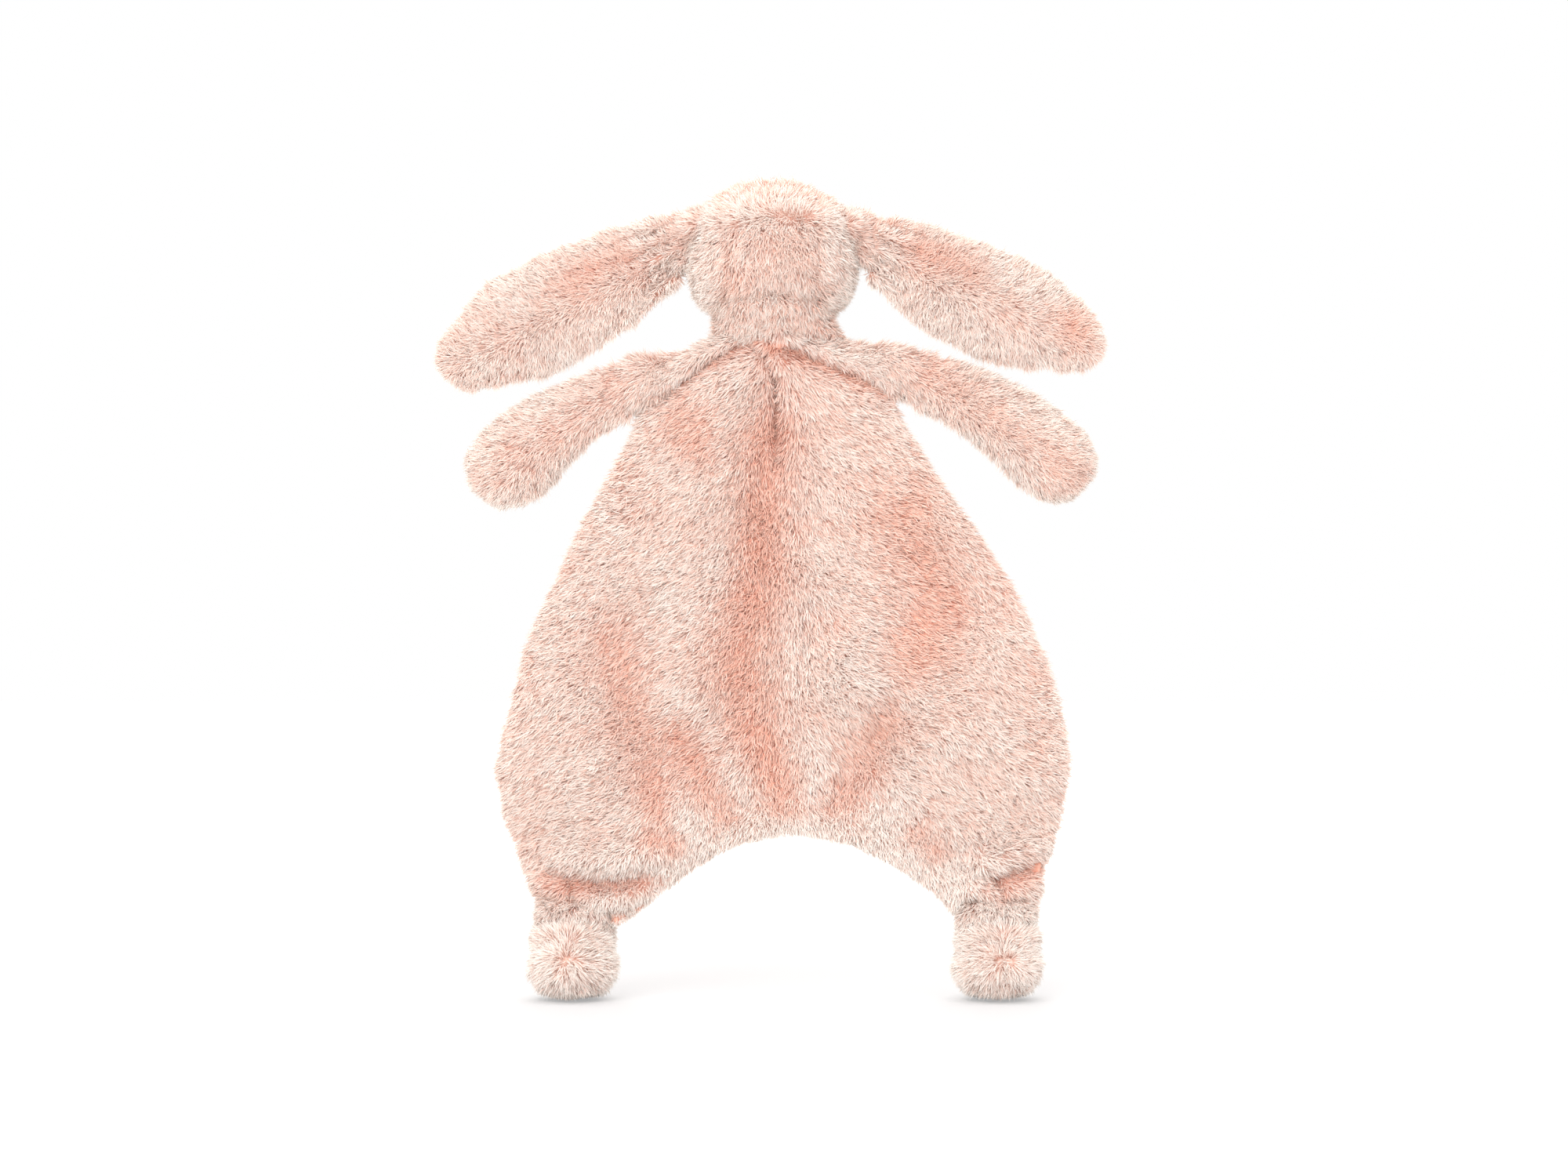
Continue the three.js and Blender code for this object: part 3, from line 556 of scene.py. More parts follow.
def grow_pile(
    name,
    cloth,
    seed,
    plush=blush_pile,
    hairs=7.0e6,
    long=0.0062,
    wide=0.0004,
    clumps=1.1,
    clump_size=0.004,
    swirls=1.0,
    swirl_size=0.028,
    unruly=0.22,
    shade_spread=0.5,
):
    """Plants the hairs on a piece of cloth and returns them as one plain mesh.

    Hairs are counted per square metre. A large cloth has fewer, so that none gets too heavy."""
    most_hairs = 98000
    lawn = bpy.data.objects.new(name, cloth.data)
    scene.collection.objects.link(lawn)
    growth = lawn.modifiers.new("pile", "NODES")
    growth.node_group = pile_tree
    sparse = 1.0
    fullest = most_hairs / sum(face.area for face in cloth.data.polygons)
    for label, value in (
        ("Hairs per square metre", min(hairs, fullest) * sparse),
        ("Hair length", long),
        ("Hair width", wide / sparse ** 0.5),
        ("Clump strength", clumps),
        ("Clump size", clump_size),
        ("Swirl strength", swirls),
        ("Swirl size", swirl_size),
        ("Unruliness", unruly),
        ("Shade spread", shade_spread),
        ("Seed", seed),
        ("Plush", plush),
    ):
        growth[pile_inputs[label]] = value
    grown = settle(lawn, name)
    for label in ("flow", "lift", "length", "shade", "tone", "reach"):
        if label in grown.attributes:
            grown.attributes.remove(grown.attributes[label])
    return lawn


# The raglan seam as x and z places, from the right armpit over the neck to the left one.
raglan_line = [
    (-0.0525, 0.2465),
    (-0.0440, 0.2546),
    (-0.0286, 0.2604),
    (-0.0144, 0.2668),
    (0.0028, 0.2745),
    (0.0189, 0.2675),
    (0.0284, 0.2625),
    (0.0547, 0.2425),
]


def raglan_height(x):
    """Height of the seam under the shoulders, an upside-down V with a rounded top."""
    return np.interp(x, *zip(*raglan_line))


def lean_over(x, z, line, size, high, deep):
    """A rolled fold: the cloth swells above the line and is tucked in below it."""
    (x0, _), (x1, _) = line[0], line[-1]
    across = np.clip((x - x0) / (x1 - x0), 0, 1)
    height = np.interp(x, *zip(*sorted(line)))
    above = (z - height) / size
    fade = np.clip(4 * across * (1 - across), 0, 1) ** 0.5
    return fade * (high * near(above, 1, 1) - deep * near(above, -0.8, 1))


# The arms' seams and the ends of the legs are filled out with lumps.
body_nodes = ["back_left_panel", "back_right_panel", "front_left_panel", "front_right_panel"]
arm_seams = [
    ((0.050, 0, 0.2540), (0.011, 0.0100, 0.0128)),
    ((-0.048, 0, 0.2605), (0.011, 0.0100, 0.0118)),
]
leg_ends = [
    ((0.0802, 0, 0.0395), (0.0180, 0.0098, 0.0130)),
    ((-0.0914, 0, 0.0395), (0.0176, 0.0098, 0.0130)),
]
body_skin = plush_skin(
    "body_skin",
    body_nodes + ["shoulder_cover", "shoulder_filling"],
    grain=0.0018,
    pile_height=0.0042,
    spread=0.0018,
    extra=arm_seams + leg_ends,
)
places = places_of(body_skin.data)
facings = facings_of(body_skin.data)
x, y, z = places.T
rear = ease(facings[:, 1], 0.0, 0.5)
fore = ease(-facings[:, 1], 0.0, 0.5)

# Folds of the back, each a line of x and z places. Broad valleys have a width and a depth, and
# where the depth is negative the cloth swells. Creases are narrow.
valleys = (
    ([(0.002, 0.245), (-0.001, 0.2), (-0.002, 0.15), (-0.0045, 0.08)], 0.010, 0.0030),
    ([(0.024, 0.25), (0.032, 0.19), (0.036, 0.13)], 0.015, -0.0034),
    ([(-0.026, 0.25), (-0.034, 0.19), (-0.036, 0.13)], 0.014, -0.0030),
    ([(-0.0235, 0.078), (-0.034, 0.098), (-0.05, 0.12)], 0.0085, 0.0042),
    ([(0.0165, 0.076), (0.0275, 0.092), (0.035, 0.108)], 0.0080, 0.0038),
    ([(0.062, 0.145), (0.046, 0.10)], 0.013, 0.0032),
    ([(-0.064, 0.186), (-0.08, 0.163)], 0.013, 0.0034),
    ([(-0.062, 0.07), (-0.075, 0.062)], 0.01, 0.0030),
    ([(0.034, 0.238), (0.026, 0.226)], 0.008, 0.0018),
    ([(0.085, 0.13), (0.075, 0.1)], 0.016, -0.0022),
    ([(-0.09, 0.13), (-0.075, 0.11)], 0.018, -0.0024),
)
sunk = np.zeros(len(x))
for line, wide, deep in valleys:
    sunk += deep * near_line(x, z, line, wide)
creases = (
    ([(0.0030, 0.2660), (-0.0010, 0.2560)], 0.0018, 0.0030),
    ([(-0.0010, 0.2560), (-0.0022, 0.2470), (-0.0022, 0.2366)], 0.0018, 0.0046),
    ([(-0.0022, 0.2366), (-0.0026, 0.2240)], 0.0028, 0.0024),
    ([(0.084, 0.0475), (0.0815, 0.0395), (0.0795, 0.033)], 0.0024, 0.0028),
    ([(0.073, 0.036), (0.069, 0.032)], 0.0022, 0.0010),
    ([(-0.0915, 0.049), (-0.0955, 0.0415)], 0.0024, 0.0028),
    ([(-0.086, 0.034), (-0.0905, 0.0275)], 0.0022, 0.0022),
)
creased = np.zeros(len(x))
for line, wide, deep in creases:
    creased += deep * near_line(x, z, line, wide)

# Rolled folds run sideways. Each is a line, the fold's size, how high it swells above the line
# and how deep it is tucked in below. The plush also rolls over both slopes of the raglan seam.
left_slope = [(0.0018, 0.2745), (0.0189, 0.2675), (0.0284, 0.2625), (0.048, 0.2475)]
right_slope = [
    (0.0030, 0.2745),
    (-0.0144, 0.2668),
    (-0.0286, 0.2604),
    (-0.0440, 0.2546),
    (-0.05, 0.248),
]
rolls = (
    (left_slope, 0.0034, 0.0026, 0.0026),
    (right_slope, 0.0034, 0.0026, 0.0028),
    ([(0.0945, 0.056), (0.072, 0.0535), (0.045, 0.0545)], 0.0050, 0.0042, 0.0034),
    ([(0.0985, 0.0455), (0.083, 0.044)], 0.0030, 0.0020, 0.0022),
    ([(0.077, 0.036), (0.063, 0.039), (0.050, 0.0435)], 0.0032, 0.0022, 0.0022),
    ([(-0.083, 0.051), (-0.1, 0.0565), (-0.1155, 0.0605)], 0.0044, 0.0036, 0.0034),
    ([(-0.074, 0.0385), (-0.083, 0.043), (-0.092, 0.0425)], 0.0036, 0.0028, 0.0024),
    ([(-0.095, 0.0435), (-0.113, 0.045)], 0.0030, 0.0018, 0.0020),
)
rolled = np.zeros(len(x))
for line, size, high, deep in rolls:
    rolled += lean_over(x, z, line, size, high, deep)

# Seams are sunk and rolled folds swell on both sides. Where the back has a broad valley, the
# front swells, but less.
centre_seam = [(0, 0.268), (0, 0.068)]
raglan_depth, raglan_width = 0.0026, 0.0018
centre_depth, centre_width = 0.0008, 0.002
seamed = raglan_depth * near_line(x, z, raglan_line, raglan_width)
seamed += centre_depth * near_line(x, z, centre_seam, centre_width) * ease(z, 0.225, 0.24)
rear_relief = rolled - sunk - creased - seamed
fore_relief = seamed - 0.6 * sunk - 0.3 * rolled
y_moved = y + rear_relief * rear + fore_relief * fore

# The left leg is drawn in a little towards the middle.
drawn_in = 0.0015
x = x - drawn_in * ease(x, 0.02, 0.05) * ease(z, 0.080, 0.066)

# The panels are cut along the seams as they were before the folds moved the cloth.
middles = face_middles(body_skin.data)
above_raglan = middles[:, 2] > raglan_height(middles[:, 0])
is_rear = middles[:, 1] > 0
is_left = middles[:, 0] > 0
move_points(body_skin.data, np.column_stack([x, y_moved, z]))

# Coral shows mostly in the folds, along the raglan seam and under the leg rolls, partly as the
# deeper roots where the pile parts and partly as painted shade: a line, its width and its
# strength.
centre_coral = [
    (-0.001, 0.236),
    (0.003, 0.203),
    (0.005, 0.173),
    (0.0125, 0.143),
    (0.008, 0.12),
    (-0.003, 0.09),
    (-0.0045, 0.08),
]
coral_patches = (
    (centre_coral, 0.0115, 0.58),
    ([(0.035, 0.239), (0.029, 0.232)], 0.010, 0.40),
    ([(0.0175, 0.077), (0.0275, 0.092), (0.037, 0.108)], 0.0100, 0.52),
    ([(0.063, 0.15), (0.054, 0.115), (0.046, 0.09)], 0.010, 0.42),
    ([(0.046, 0.09), (0.043, 0.068)], 0.007, 0.45),
    ([(0.047, 0.068), (0.04, 0.066)], 0.007, 0.50),
    ([(-0.052, 0.202), (-0.060, 0.183), (-0.067, 0.165), (-0.058, 0.147)], 0.0150, 0.48),
    ([(-0.056, 0.157), (-0.06, 0.15)], 0.012, 0.25),
    ([(-0.024, 0.080), (-0.036, 0.098), (-0.044, 0.115)], 0.0105, 0.48),
    ([(-0.06, 0.07), (-0.066, 0.064)], 0.007, 0.5),
    ([(-0.001, 0.2705), (-0.0144, 0.2645), (-0.03, 0.2575), (-0.047, 0.2500)], 0.0030, 0.6),
    ([(0.004, 0.2715), (0.024, 0.2625), (0.048, 0.2470)], 0.0022, 0.38),
    ([(0.091, 0.0490), (0.07, 0.0475), (0.052, 0.0490)], 0.0052, 0.45),
    ([(-0.085, 0.046), (-0.096, 0.0495), (-0.104, 0.0525)], 0.0045, 0.32),
    ([(0.0815, 0.04), (0.079, 0.033)], 0.004, 0.4),
    ([(-0.0925, 0.047), (-0.0955, 0.041)], 0.004, 0.4),
)
coral = np.zeros(len(x))
for line, wide, strength in coral_patches:
    coral = np.maximum(coral, strength * near_line(x, z, line, wide))

# The hem between the legs is an arch. Towards it the pile lies downwards, shorter and paler.
arch_middle, arch_top, arch_bend = -0.01, 0.068, 8
from_hem = z + arch_bend * (x - arch_middle) ** 2 - arch_top
coral *= rear * ease(from_hem, 0.003, 0.014)
hemward = ease(-from_hem, -0.05, -0.017)
sideways = np.tanh((x + 0.004) / 0.02)
body_flow = np.column_stack([
    0.9 * sideways * (1 - hemward) + 0.25 * sideways * hemward,
    np.zeros(len(x)),
    -0.4 * (1 - hemward) - hemward,
])
body_lift = 0.42 + 0.1 * coral + 0.12 * fore
crease_depth = creased.clip(0, 0.005)
# Painted shade darkens the creases, the seams and the tucks under the rolled folds, and painted
# light makes the swells of the rolls paler.
body_shade = 0.75 - coral - 90 * crease_depth + 50 * rolled.clip(-0.004, 0.004) - 110 * seamed
paler_hem = 0.34 * hemward * (1 - 1.4 * coral).clip(0, 1)
# Painted light makes the lower legs paler, to lift the shade under the leg rolls.
painted_light_on_legs = 0.12 * ease(-z, -0.050, -0.040)
body_shade += paler_hem + painted_light_on_legs
body_length = 1.0 - 125 * crease_depth + 80 * rolled.clip(-0.003, 0) - 80 * seamed - 0.2 * hemward
body_length -= 0.15 * ease(-z, -0.044, -0.034)
comb(body_skin.data, body_flow, body_length, body_shade, body_lift)

seed = 10
for layer, chosen in (("back", is_rear), ("front", ~is_rear)):
    for side, on_side in (("left", is_left), ("right", ~is_left)):
        name = f"{layer}_{side}_panel"
        panel = cut_out(body_skin, f"{name}_cloth", chosen & on_side & ~above_raglan)
        pile = grow_pile(f"{name}_pile", panel, seed, wide=0.00046, clumps=0.9, clump_size=0.0034)
        seed += 10
        panel.data.materials.append(blush_backing)
        backing = panel.modifiers.new("cloth_thickness", "SOLIDIFY")
        backing.thickness = 0.001
        backing.offset = -1
        for piece in (panel, pile):
            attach(piece, "root")
        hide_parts(name)


# Shoulder yoke. The plush above the raglan seam wraps a thin layer of stuffing, and the arms
# are sewn into its ends.
yoke = cut_out(body_skin, "shoulder_yoke", above_raglan)
yoke_pile = grow_pile("shoulder_yoke_pile", yoke, seed)
seed += 10
yoke.data.materials.append(blush_backing)
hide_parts("shoulder_cover", "shoulder_filling")
for piece in (yoke, yoke_pile):
    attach(piece, "root")
bpy.data.objects.remove(body_skin)


# Head. Four plush panels round a ball of stuffing: a middle back panel between two upright seams,
# two sides and the face. The eyes, nose and mouth are satin stitch on the face.
head_nodes = [
    "head_back_panel",
    "head_left_panel",
    "head_right_panel",
    "face_panel",
    "head_filling",
]
head = plush_skin("head", head_nodes, grain=0.0016, pile_height=0.0036, spread=0.0006)
places = places_of(head.data)
facings = facings_of(head.data)
x, y, z = places.T
side_seams = near(np.abs(x), 0.0175, 0.0018) * ease(y, -0.008, 0) * ease(z, 0.338, 0.322)
face_seam = near(y, -0.008, 0.0016)
nape_line = [(0.019, 0.2855), (0.006, 0.2835), (-0.014, 0.2865)]
nape = near_line(x, z, nape_line, 0.0025) * ease(y, 0, 0.01)
seam_depth, nape_depth = 0.0014, 0.0025
dip = seam_depth * np.maximum(side_seams, face_seam) + nape_depth * nape

# Round the stitches the pile is short, and the cloth comes up to just under them.
bare_reach = 0.0068
outside = 0.03
under_stitches = 0.0003
bare = np.zeros(len(x))
stitches = []
for node in ("eye_left", "eye_right", "nose", "mouth_stitch"):
    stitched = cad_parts[node]
    stitches.extend(stitched.matrix_world @ point.co for point in stitched.data.vertices)
for stitch in np.array(stitches):
    bare = np.maximum(bare, np.exp(-((np.linalg.norm(places - stitch, axis=1) / bare_reach) ** 4)))
bare = ease(bare, 0, 0.8)
evaluated = bpy.context.evaluated_depsgraph_get()
face_cloth = BVHTree.FromObject(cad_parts["face_panel"], evaluated)
for i in np.flatnonzero(bare > 0.01):
    facing = Vector(facings[i])
    sewn_down, _, _, _ = face_cloth.ray_cast(Vector(places[i]) + facing * outside, -facing)
    if sewn_down:
        places[i] += (np.array(sewn_down) - facings[i] * under_stitches - places[i]) * bare[i]
move_points(head.data, places - facings * dip[:, None])

# The pile lies away from the nose over the face. On the back it parts at the crown, below which
# it lies downwards and out to the sides.
nose_tip = np.array([0, -0.034, 0.3])
forwards = ease(z, 0.315, 0.325)
backwards = np.column_stack([
    x / 0.06,
    0.3 - 1.3 * forwards,
    0.3 * forwards - 0.9 * (1 - forwards),
])
from_nose = (places - nose_tip) / np.linalg.norm(places - nose_tip, axis=1, keepdims=True)
facewards = ease(-y, 0.0, 0.02)[:, None]
head_flow = backwards * (1 - facewards) + from_nose * facewards
rearwards = 1 - facewards[:, 0]
head_flow[:, 0] += 0.8 * np.sign(x) * ease(np.abs(x), 0.014, 0.024) * rearwards
head_flow[:, 0] += 0.9 * np.tanh((x - 0.002) / 0.006) * ease(z, 0.298, 0.286) * rearwards
back_middle = ease(0.019 - np.abs(x), 0, 0.006) * ease(z, 0.323, 0.312) * ease(y, 0.0, 0.01)
parting = 4 * forwards * (1 - forwards)
head_flow[:, 0] += 0.6 * parting * rearwards
upward = ease(facings[:, 2], 0.3, 0.95)
# Painted shade darkens the side seams and the line under the nape, and the crown and the
# upward-facing back of it are painted deeper against the light from above.
head_shade = (
    0.82
    - 0.23 * back_middle
    - 0.25 * side_seams
    - 0.3 * nape
    - 0.03 * forwards
    - 0.26 * upward * ease(y, -0.01, 0.005)
    + 0.1 * parting
)
sideways = (1 - np.abs(facings[:, 1])) ** 2
head_lift = 0.44 + 0.1 * back_middle + 0.3 * parting + 0.2 * sideways * (1 - upward)
head_lift -= 0.2 * upward * (1 - parting)
comb(head.data, head_flow, length=1 - 0.6 * bare, shade=head_shade, lift=head_lift)
smooth_faces(head.data)
head_pile = grow_pile(
    "head_pile",
    head,
    seed,
    long=0.0056,
    swirls=0.95,
    swirl_size=0.010,
    unruly=0.3,
    shade_spread=0.65,
)
seed += 10
head.data.materials.append(pale_backing)
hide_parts(*head_nodes)
for piece in (head, head_pile):
    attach(piece, "head")


# Neck. Between the head and the yoke the plush is drawn in by a thread round a small ball of
# stuffing, and its pile hides the thread.
def plush_sleeve(name, rings, sides=40):
    """A tube of plush through oval rings: each ring is its middle and its two half widths."""
    mesh = bpy.data.meshes.new(name)
    points = []
    for (cx, cy, cz), half_wide, half_deep in rings:
        for step in range(sides):
            turn = 2 * math.pi * step / sides
            points.append((cx + half_wide * math.cos(turn), cy + half_deep * math.sin(turn), cz))
    faces = []
    for row in range(len(rings) - 1):
        for step in range(sides):
            after = (step + 1) % sides
            low, high = row * sides, (row + 1) * sides
            faces.append((low + step, low + after, high + after, high + step))
    faces.append(tuple(range(sides))[::-1])
    faces.append(tuple(range((len(rings) - 1) * sides, len(rings) * sides)))
    mesh.from_pydata(points, [], faces)
    smooth_faces(mesh)
    sleeve = bpy.data.objects.new(name, mesh)
    scene.collection.objects.link(sleeve)
    return sleeve


def sleeve_flow(mesh, drop):
    """The pile of a sleeve lies outwards and down."""
    return facings_of(mesh) * (0.6, 0.6, 0) - (0, 0, drop)


neck_rings = [
    ((-0.0020, -0.001, 0.262), 0.0300, 0.0030),
    ((-0.0025, -0.001, 0.267), 0.0285, 0.0058),
    ((-0.0022, 0.000, 0.272), 0.0266, 0.0088),
    ((-0.0014, 0.001, 0.277), 0.0234, 0.0134),
    ((-0.0006, 0.001, 0.282), 0.0210, 0.0166),
    ((0, 0.002, 0.287), 0.0218, 0.0186),
    ((0, 0.002, 0.292), 0.0200, 0.0180),
]
neck_sleeve = plush_sleeve("neck_gather", neck_rings)
neck_length = 1 - 0.5 * ease(-places_of(neck_sleeve.data)[:, 2], -0.283, -0.271)
neck_flow = sleeve_flow(neck_sleeve.data, drop=0.7)
comb(neck_sleeve.data, neck_flow, length=neck_length, shade=0.66, lift=0.5)
neck_pile = grow_pile(
    "neck_gather_pile",
    neck_sleeve,
    seed,
    swirls=1.1,
    swirl_size=0.010,
    unruly=0.3,
    shade_spread=0.9,
)
seed += 10
neck_sleeve.data.materials.append(blush_backing)
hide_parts("neck_filling", "neck_thread")
for piece in (neck_sleeve, neck_pile):
    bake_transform(piece)


# Ears. Each is a long flat pair of plush panels, the outer one with long pile and the lining with
# short pale pile, pinched together where it is sewn into the side of the head.
def along_limb(places, root, tip, way):
    """The directions out along a limb and up across it, and how far each place lies along both."""
    along = np.array(tip) - root
    along /= np.linalg.norm(along)
    up = np.array([-way * along[2], 0, way * along[0]])
    return along, up, (places - root) @ along, (places - root) @ up


lining_pile = pile_dye(
    "lining_pile",
    root_deep=colour(245, 184, 162),
    tip_deep=colour(250, 224, 212),
    root_pale=colour(248, 216, 204),
    tip_pale=colour(252, 250, 246),
)
for side, way, root_height, tip, shoulder_rise, spread in (
    ("left", 1, 0.3110, (0.139, 0, 0.259), 0.0121, 0.0003),
    ("right", -1, 0.3125, (-0.14, 0, 0.266), 0.0096, -0.0004),
):
    root = np.array([way * 0.0369, 0, root_height])

    # Lumps under the skin carry the ear over its seam into the head.
    bridge = [
        ((way * 0.036, 0, root_height + 0.0022), (0.011, 0.0062, 0.0128)),
        ((way * 0.050, 0, root_height + 0.0012), (0.014, 0.0062, shoulder_rise)),
        ((way * 0.030, 0.004, 0.3190), (0.009, 0.010, 0.0075)),
    ]
    nodes = [f"ear_{side}_outer", f"ear_{side}_lining"]
    skin = plush_skin(
        f"ear_{side}_skin",
        nodes,
        grain=0.0012,
        pile_height=0.0026,
        spread=spread,
        extra=bridge,
    )
    places = places_of(skin.data)
    facings = facings_of(skin.data)
    middles = face_middles(skin.data)
    along, up, reach, off_line = along_limb(places, root, tip, way)

    # The outline: both ears are drawn in under the root, the left one has a shoulder near its
    # end, and the right one's end is flatter.
    places += np.outer(0.0026 * near(reach, 0.015, 0.010) * ease(-off_line, 0.002, 0.010), up)
    if side == "left":
        places += np.outer(0.0022 * near(reach, 0.081, 0.012) * ease(off_line, 0.004, 0.014), up)
    else:
        flatter = near(reach, 0.102, 0.010) * ease(off_line, -0.002, 0.008)
        places -= np.outer(0.0024 * flatter, along)

    # Gathers fan out from the pinched root over the back of the ear.
    gather_spacing = 0.0052 + 0.12 * reach.clip(0, 1)
    gathers = np.cos(2 * math.pi * off_line / gather_spacing) * ease(reach, 0.030, 0.010)
    gathers *= ease(reach, -0.004, 0.004) * ease(facings[:, 1], 0.1, 0.5)
    gather_depth = 0.0014
    move_points(skin.data, places + facings * (gather_depth * gathers)[:, None])

    # The pile lies out along the ear and away from its middle. Coral shows in a band behind the
    # root, and on the right ear in a spot near the end.
    ear_flow = np.tile(along, (len(places), 1)) * 0.6
    ear_flow += np.outer(np.tanh((off_line + 0.002) / 0.008), up)
    blush_band = near(off_line, 0.006, 0.006) * ease(reach, 0.008, 0.02) * ease(reach, 0.06, 0.04)
    tip_spot = near(off_line, 0.002, 0.007) * near(reach, 0.093, 0.008) * (side == "right")
    pinched = ease(reach, -0.009, -0.002) - ease(reach, 0.0, 0.012)
    middle = near(off_line, 0, 0.013)
    ear_coral = 0.4 * np.maximum(blush_band, tip_spot)
    # Painted shade darkens the pinched root and the furrows of the gathers, and painted light
    # makes the ridges of the gathers paler.
    ear_shade = 0.88 - 0.16 * middle - ear_coral - 0.15 * pinched + 0.2 * gathers
    ear_lift = 0.42 + 0.15 * middle + 0.1 * ear_coral
    comb(skin.data, ear_flow, shade=ear_shade, lift=ear_lift)
    for part, chosen, dye, long, slot_name in (
        ("outer", middles[:, 1] > 0, blush_pile, 0.0056, "plush_blush"),
        ("lining", middles[:, 1] <= 0, lining_pile, 0.0042, "plush_lining"),
    ):
        panel = cut_out(skin, f"ear_{side}_{part}_cloth", chosen)
        pile = grow_pile(f"ear_{side}_{part}_pile", panel, seed, plush=dye, long=long)
        seed += 10
        panel.data.materials.append(blush_backing)
        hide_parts(f"ear_{side}_{part}")
        for piece in (panel, pile):
            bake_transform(piece)
    bpy.data.objects.remove(skin)


# Arms. Each is a stuffed plush tube that widens to a round paw, and is sewn flat into the end of
# the yoke.
for side, way, shoulder, slant, tip, rise, spread, blush in (
    ("left", 1, (0.0547, 0, 0.2542), 17.4, (0.1201, 0, 0.2069), 0.0126, 0.0006, 0.22),
    ("right", -1, (-0.0525, 0, 0.2597), 15, (-0.1273, 0, 0.2089), 0.0112, 0.0001, 0.32),
):
    root = np.array(shoulder)
    slope = math.radians(slant)
    outward_way = np.array([way * math.cos(slope), 0, -math.sin(slope)])

    # A lump under the skin carries the arm over its seam into the yoke.
    bridge = [(tuple(root - 0.002 * outward_way), (0.015, 0.0092, rise))]
    nodes = [f"arm_{side}_back_cover", f"arm_{side}_front_cover", f"arm_{side}_filling"]
    arm = plush_skin(
        f"arm_{side}",
        nodes,
        grain=0.0014,
        pile_height=0.0034,
        spread=spread,
        extra=bridge,
    )
    places = places_of(arm.data)
    facings = facings_of(arm.data)
    along, up, reach, off_line = along_limb(places, root, tip, way)

    # The pile lies out along the arm and away from its middle, and coral shows along the back.
    arm_flow = np.tile(along, (len(places), 1)) * 0.7
    arm_flow += np.outer(np.tanh(off_line / 0.008), up) * 0.6
    back_ridge = near(off_line, 0.004, 0.008) * ease(facings[:, 1], 0.2, 0.7)
    arm_coral = blush * back_ridge * ease(reach, 0.0, 0.01)
    # Painted shade darkens the arm next to its seam into the yoke.
    arm_shade = 0.85 - arm_coral - 0.15 * (1 - ease(reach, 0.0, 0.015))
    comb(arm.data, arm_flow, shade=arm_shade, lift=0.42)
    smooth_faces(arm.data)
    arm_pile = grow_pile(f"arm_{side}_pile", arm, seed)
    seed += 10
    arm.data.materials.append(blush_backing)
    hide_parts(*nodes)
    for piece in (arm, arm_pile):
        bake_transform(piece)


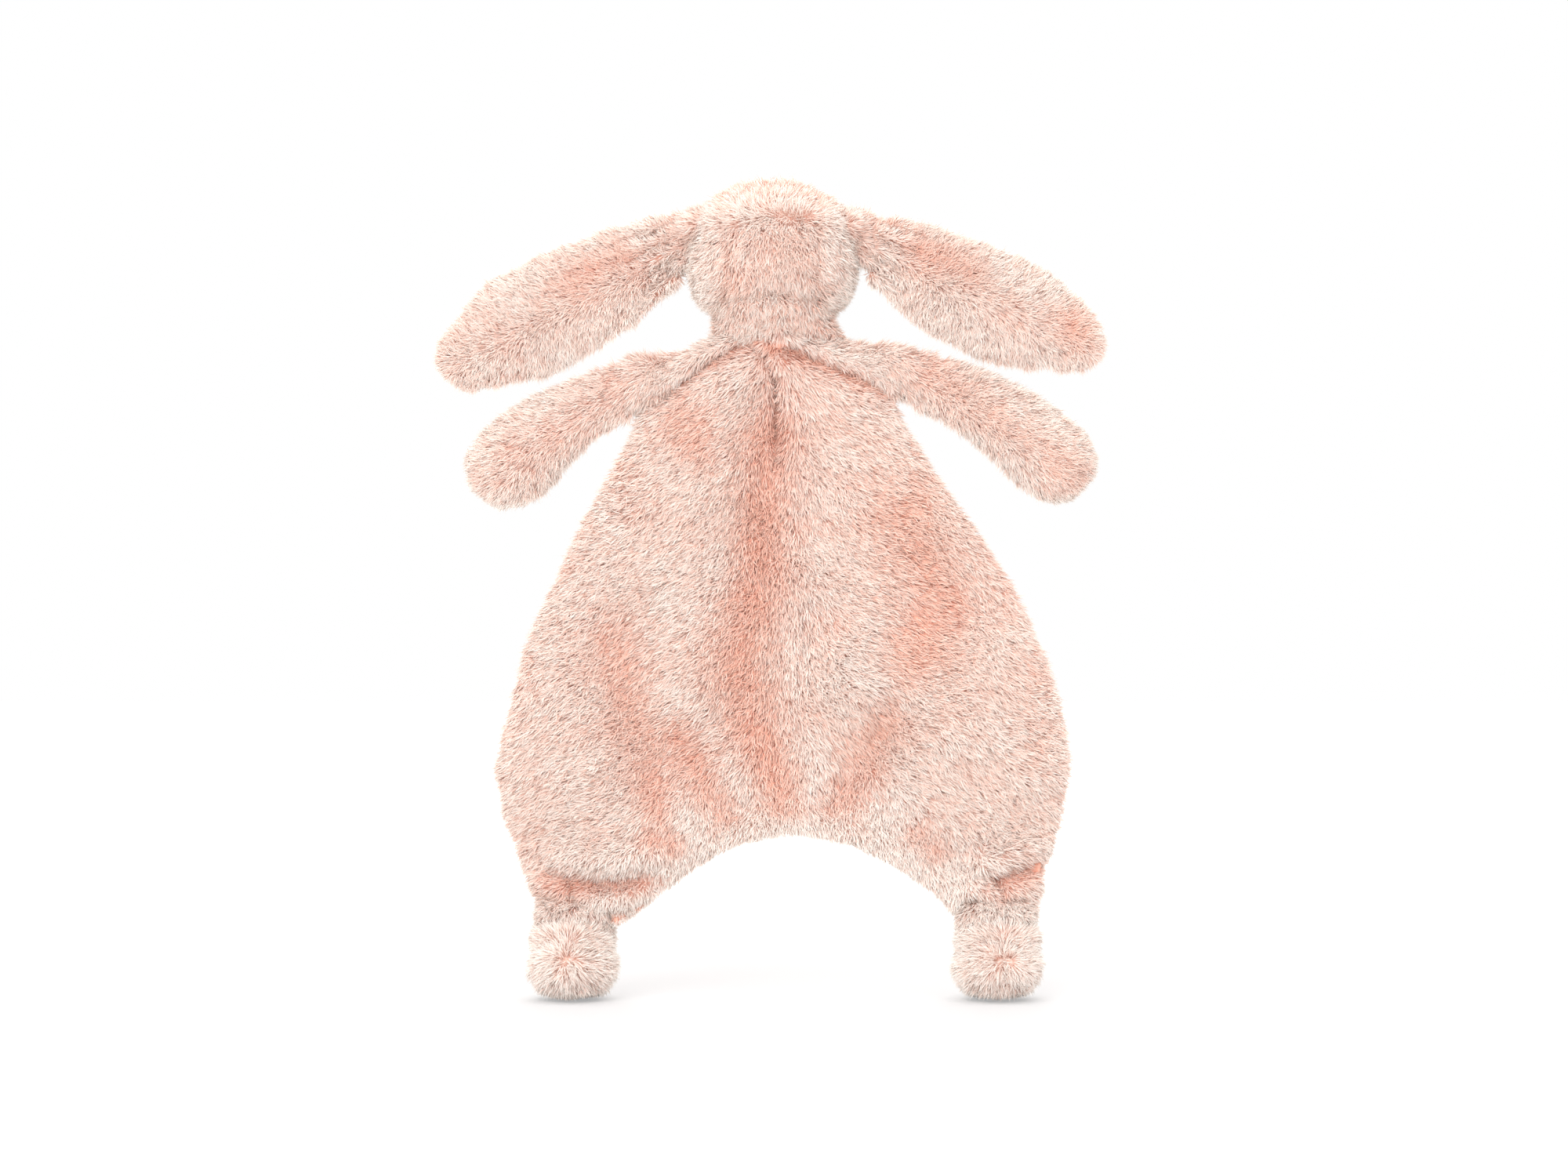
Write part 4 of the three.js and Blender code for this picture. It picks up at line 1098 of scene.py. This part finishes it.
# Feet. Each leg is gathered by a thread into a small stuffed pouch, whose plush puckers in a star
# at the back.
for side, way, across, star_across in (("left", 1, 0.0824, 0.003), ("right", -1, -0.0931, -0.002)):
    nodes = [f"foot_{side}_cover", f"foot_{side}_filling"]
    foot = plush_skin(
        f"foot_{side}",
        nodes,
        grain=0.0014,
        pile_height=0.0036,
        spread=0.0004,
        extra=[((across, 0, 0.0255), (0.0185, 0.0165, 0.0110))],
    )
    places = places_of(foot.data)
    x, y, z = places.T

    # The pouch narrows towards its flat sole, and its puckers are waves round the star's middle.
    tucked = 1 - 0.26 * ease(z, 0.014, 0.003)
    places = np.column_stack([across + (x - across) * tucked, y * tucked, z])
    star = np.array([across + star_across, 0.0205, 0.0200])
    away = places - star
    far = np.linalg.norm(away, axis=1)
    turn = np.arctan2(away[:, 2], away[:, 0])
    rays = 0.6 * np.cos(5 * turn + 1.2 * way) + 0.5 * np.cos(3 * turn + 0.5)
    rays *= near(far, 0.008, 0.006)
    ray_height, dimple_depth = 0.0011, 0.0012
    puckered = ray_height * rays - dimple_depth * near(far, 0, 0.0035)
    underneath = ease(-facings_of(foot.data)[:, 2], 0.2, 0.7)
    move_points(foot.data, places + facings_of(foot.data) * puckered[:, None])

    # The pile lies away from the star at the back and from the ankle in front, and is short below.
    from_star = away / np.maximum(far[:, None], 1e-6)
    from_ankle = places - (across, 0, 0.04)
    from_ankle /= np.linalg.norm(from_ankle, axis=1, keepdims=True)
    behind = ease(places[:, 1], -0.004, 0.008)[:, None]
    foot_flow = from_star * behind + from_ankle * (1 - behind)
    in_star = near(far, 0, 0.006)
    # Painted shade darkens the pile towards the sole, and the puckers get painted light on their
    # ridges and painted shade between them.
    foot_shade = 0.95 - 0.04 * ease(places[:, 2], 0.012, 0.004) + 0.14 * rays + 0.3 * in_star
    foot_lift = 0.4 + 0.5 * in_star
    comb(foot.data, foot_flow, length=1 - 0.5 * underneath, shade=foot_shade, lift=foot_lift)
    smooth_faces(foot.data)
    foot_pile = grow_pile(f"foot_{side}_pile", foot, seed, swirls=0.5)
    seed += 10
    foot.data.materials.append(pale_backing)
    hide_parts(*nodes)
    for piece in (foot, foot_pile):
        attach(piece, f"foot_{side}")

    # A sleeve of plush round the gathers keeps the ankle closed when the foot tilts.
    leg_across = across - 0.001 * way
    ankle_rings = [
        ((across, 0, 0.022), 0.0120, 0.0080),
        ((leg_across, 0, 0.026), 0.0134, 0.0085),
        ((leg_across, 0, 0.030), 0.0136, 0.0085),
        ((leg_across, 0, 0.034), 0.0138, 0.0070),
        ((leg_across, 0, 0.040), 0.0135, 0.0040),
    ]
    ankle = plush_sleeve(f"ankle_gather_{side}", ankle_rings)
    comb(ankle.data, sleeve_flow(ankle.data, drop=0.6), length=0.9, shade=0.85, lift=0.42)
    ankle_pile = grow_pile(f"ankle_gather_{side}_pile", ankle, seed)
    seed += 10
    ankle.data.materials.append(blush_backing)
    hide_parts(f"ankle_thread_{side}")
    for piece in (ankle, ankle_pile):
        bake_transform(piece)


# Stitched face. The eyes, nose and mouth are satin stitch on the face panel, in a dark and a pink
# thread. They are the CAD model's own solids with a thread's look.
def thread_dye(name, dark, light):
    """Satin stitch: fine strands side by side, with a painted sheen that runs from the dark colour
    to the light one.
    """
    waves_per_metre = 900
    dye = bpy.data.materials.new(name)
    dye.use_nodes = True
    tree = dye.node_tree
    shader = tree.nodes["Principled BSDF"]
    shader.inputs["Roughness"].default_value = 0.45
    place = tree.nodes.new("ShaderNodeTexCoord")
    strands = tree.nodes.new("ShaderNodeTexWave")
    strands.bands_direction = "Z"
    strands.inputs["Scale"].default_value = waves_per_metre
    strands.inputs["Distortion"].default_value = 1.5
    strands.inputs["Detail"].default_value = 2
    tree.links.new(place.outputs["Object"], strands.inputs["Vector"])
    # Painted sheen: the strands run from the dark colour to the light one and back.
    painted_sheen = ramp_between(tree, strands.outputs["Fac"], dark, light)
    tree.links.new(painted_sheen, shader.inputs["Base Color"])
    raise_threads(tree, shader, strands.outputs["Fac"], strength=0.5, depth=0.0003)
    return dye


eye_dye = thread_dye("eye_stitch", colour(34, 24, 22), colour(78, 58, 52))
nose_dye = thread_dye("nose_stitch", colour(196, 112, 110), colour(226, 150, 144))
for dye, nodes in (
    (eye_dye, ("eye_left", "eye_right")),
    (nose_dye, ("nose", "mouth_stitch")),
):
    for node in nodes:
        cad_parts[node].data.materials.clear()
        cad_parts[node].data.materials.append(dye)

# The single hair was only the pattern for the pile.
bpy.data.objects.remove(hair)
bpy.data.meshes.remove(hair_mesh)
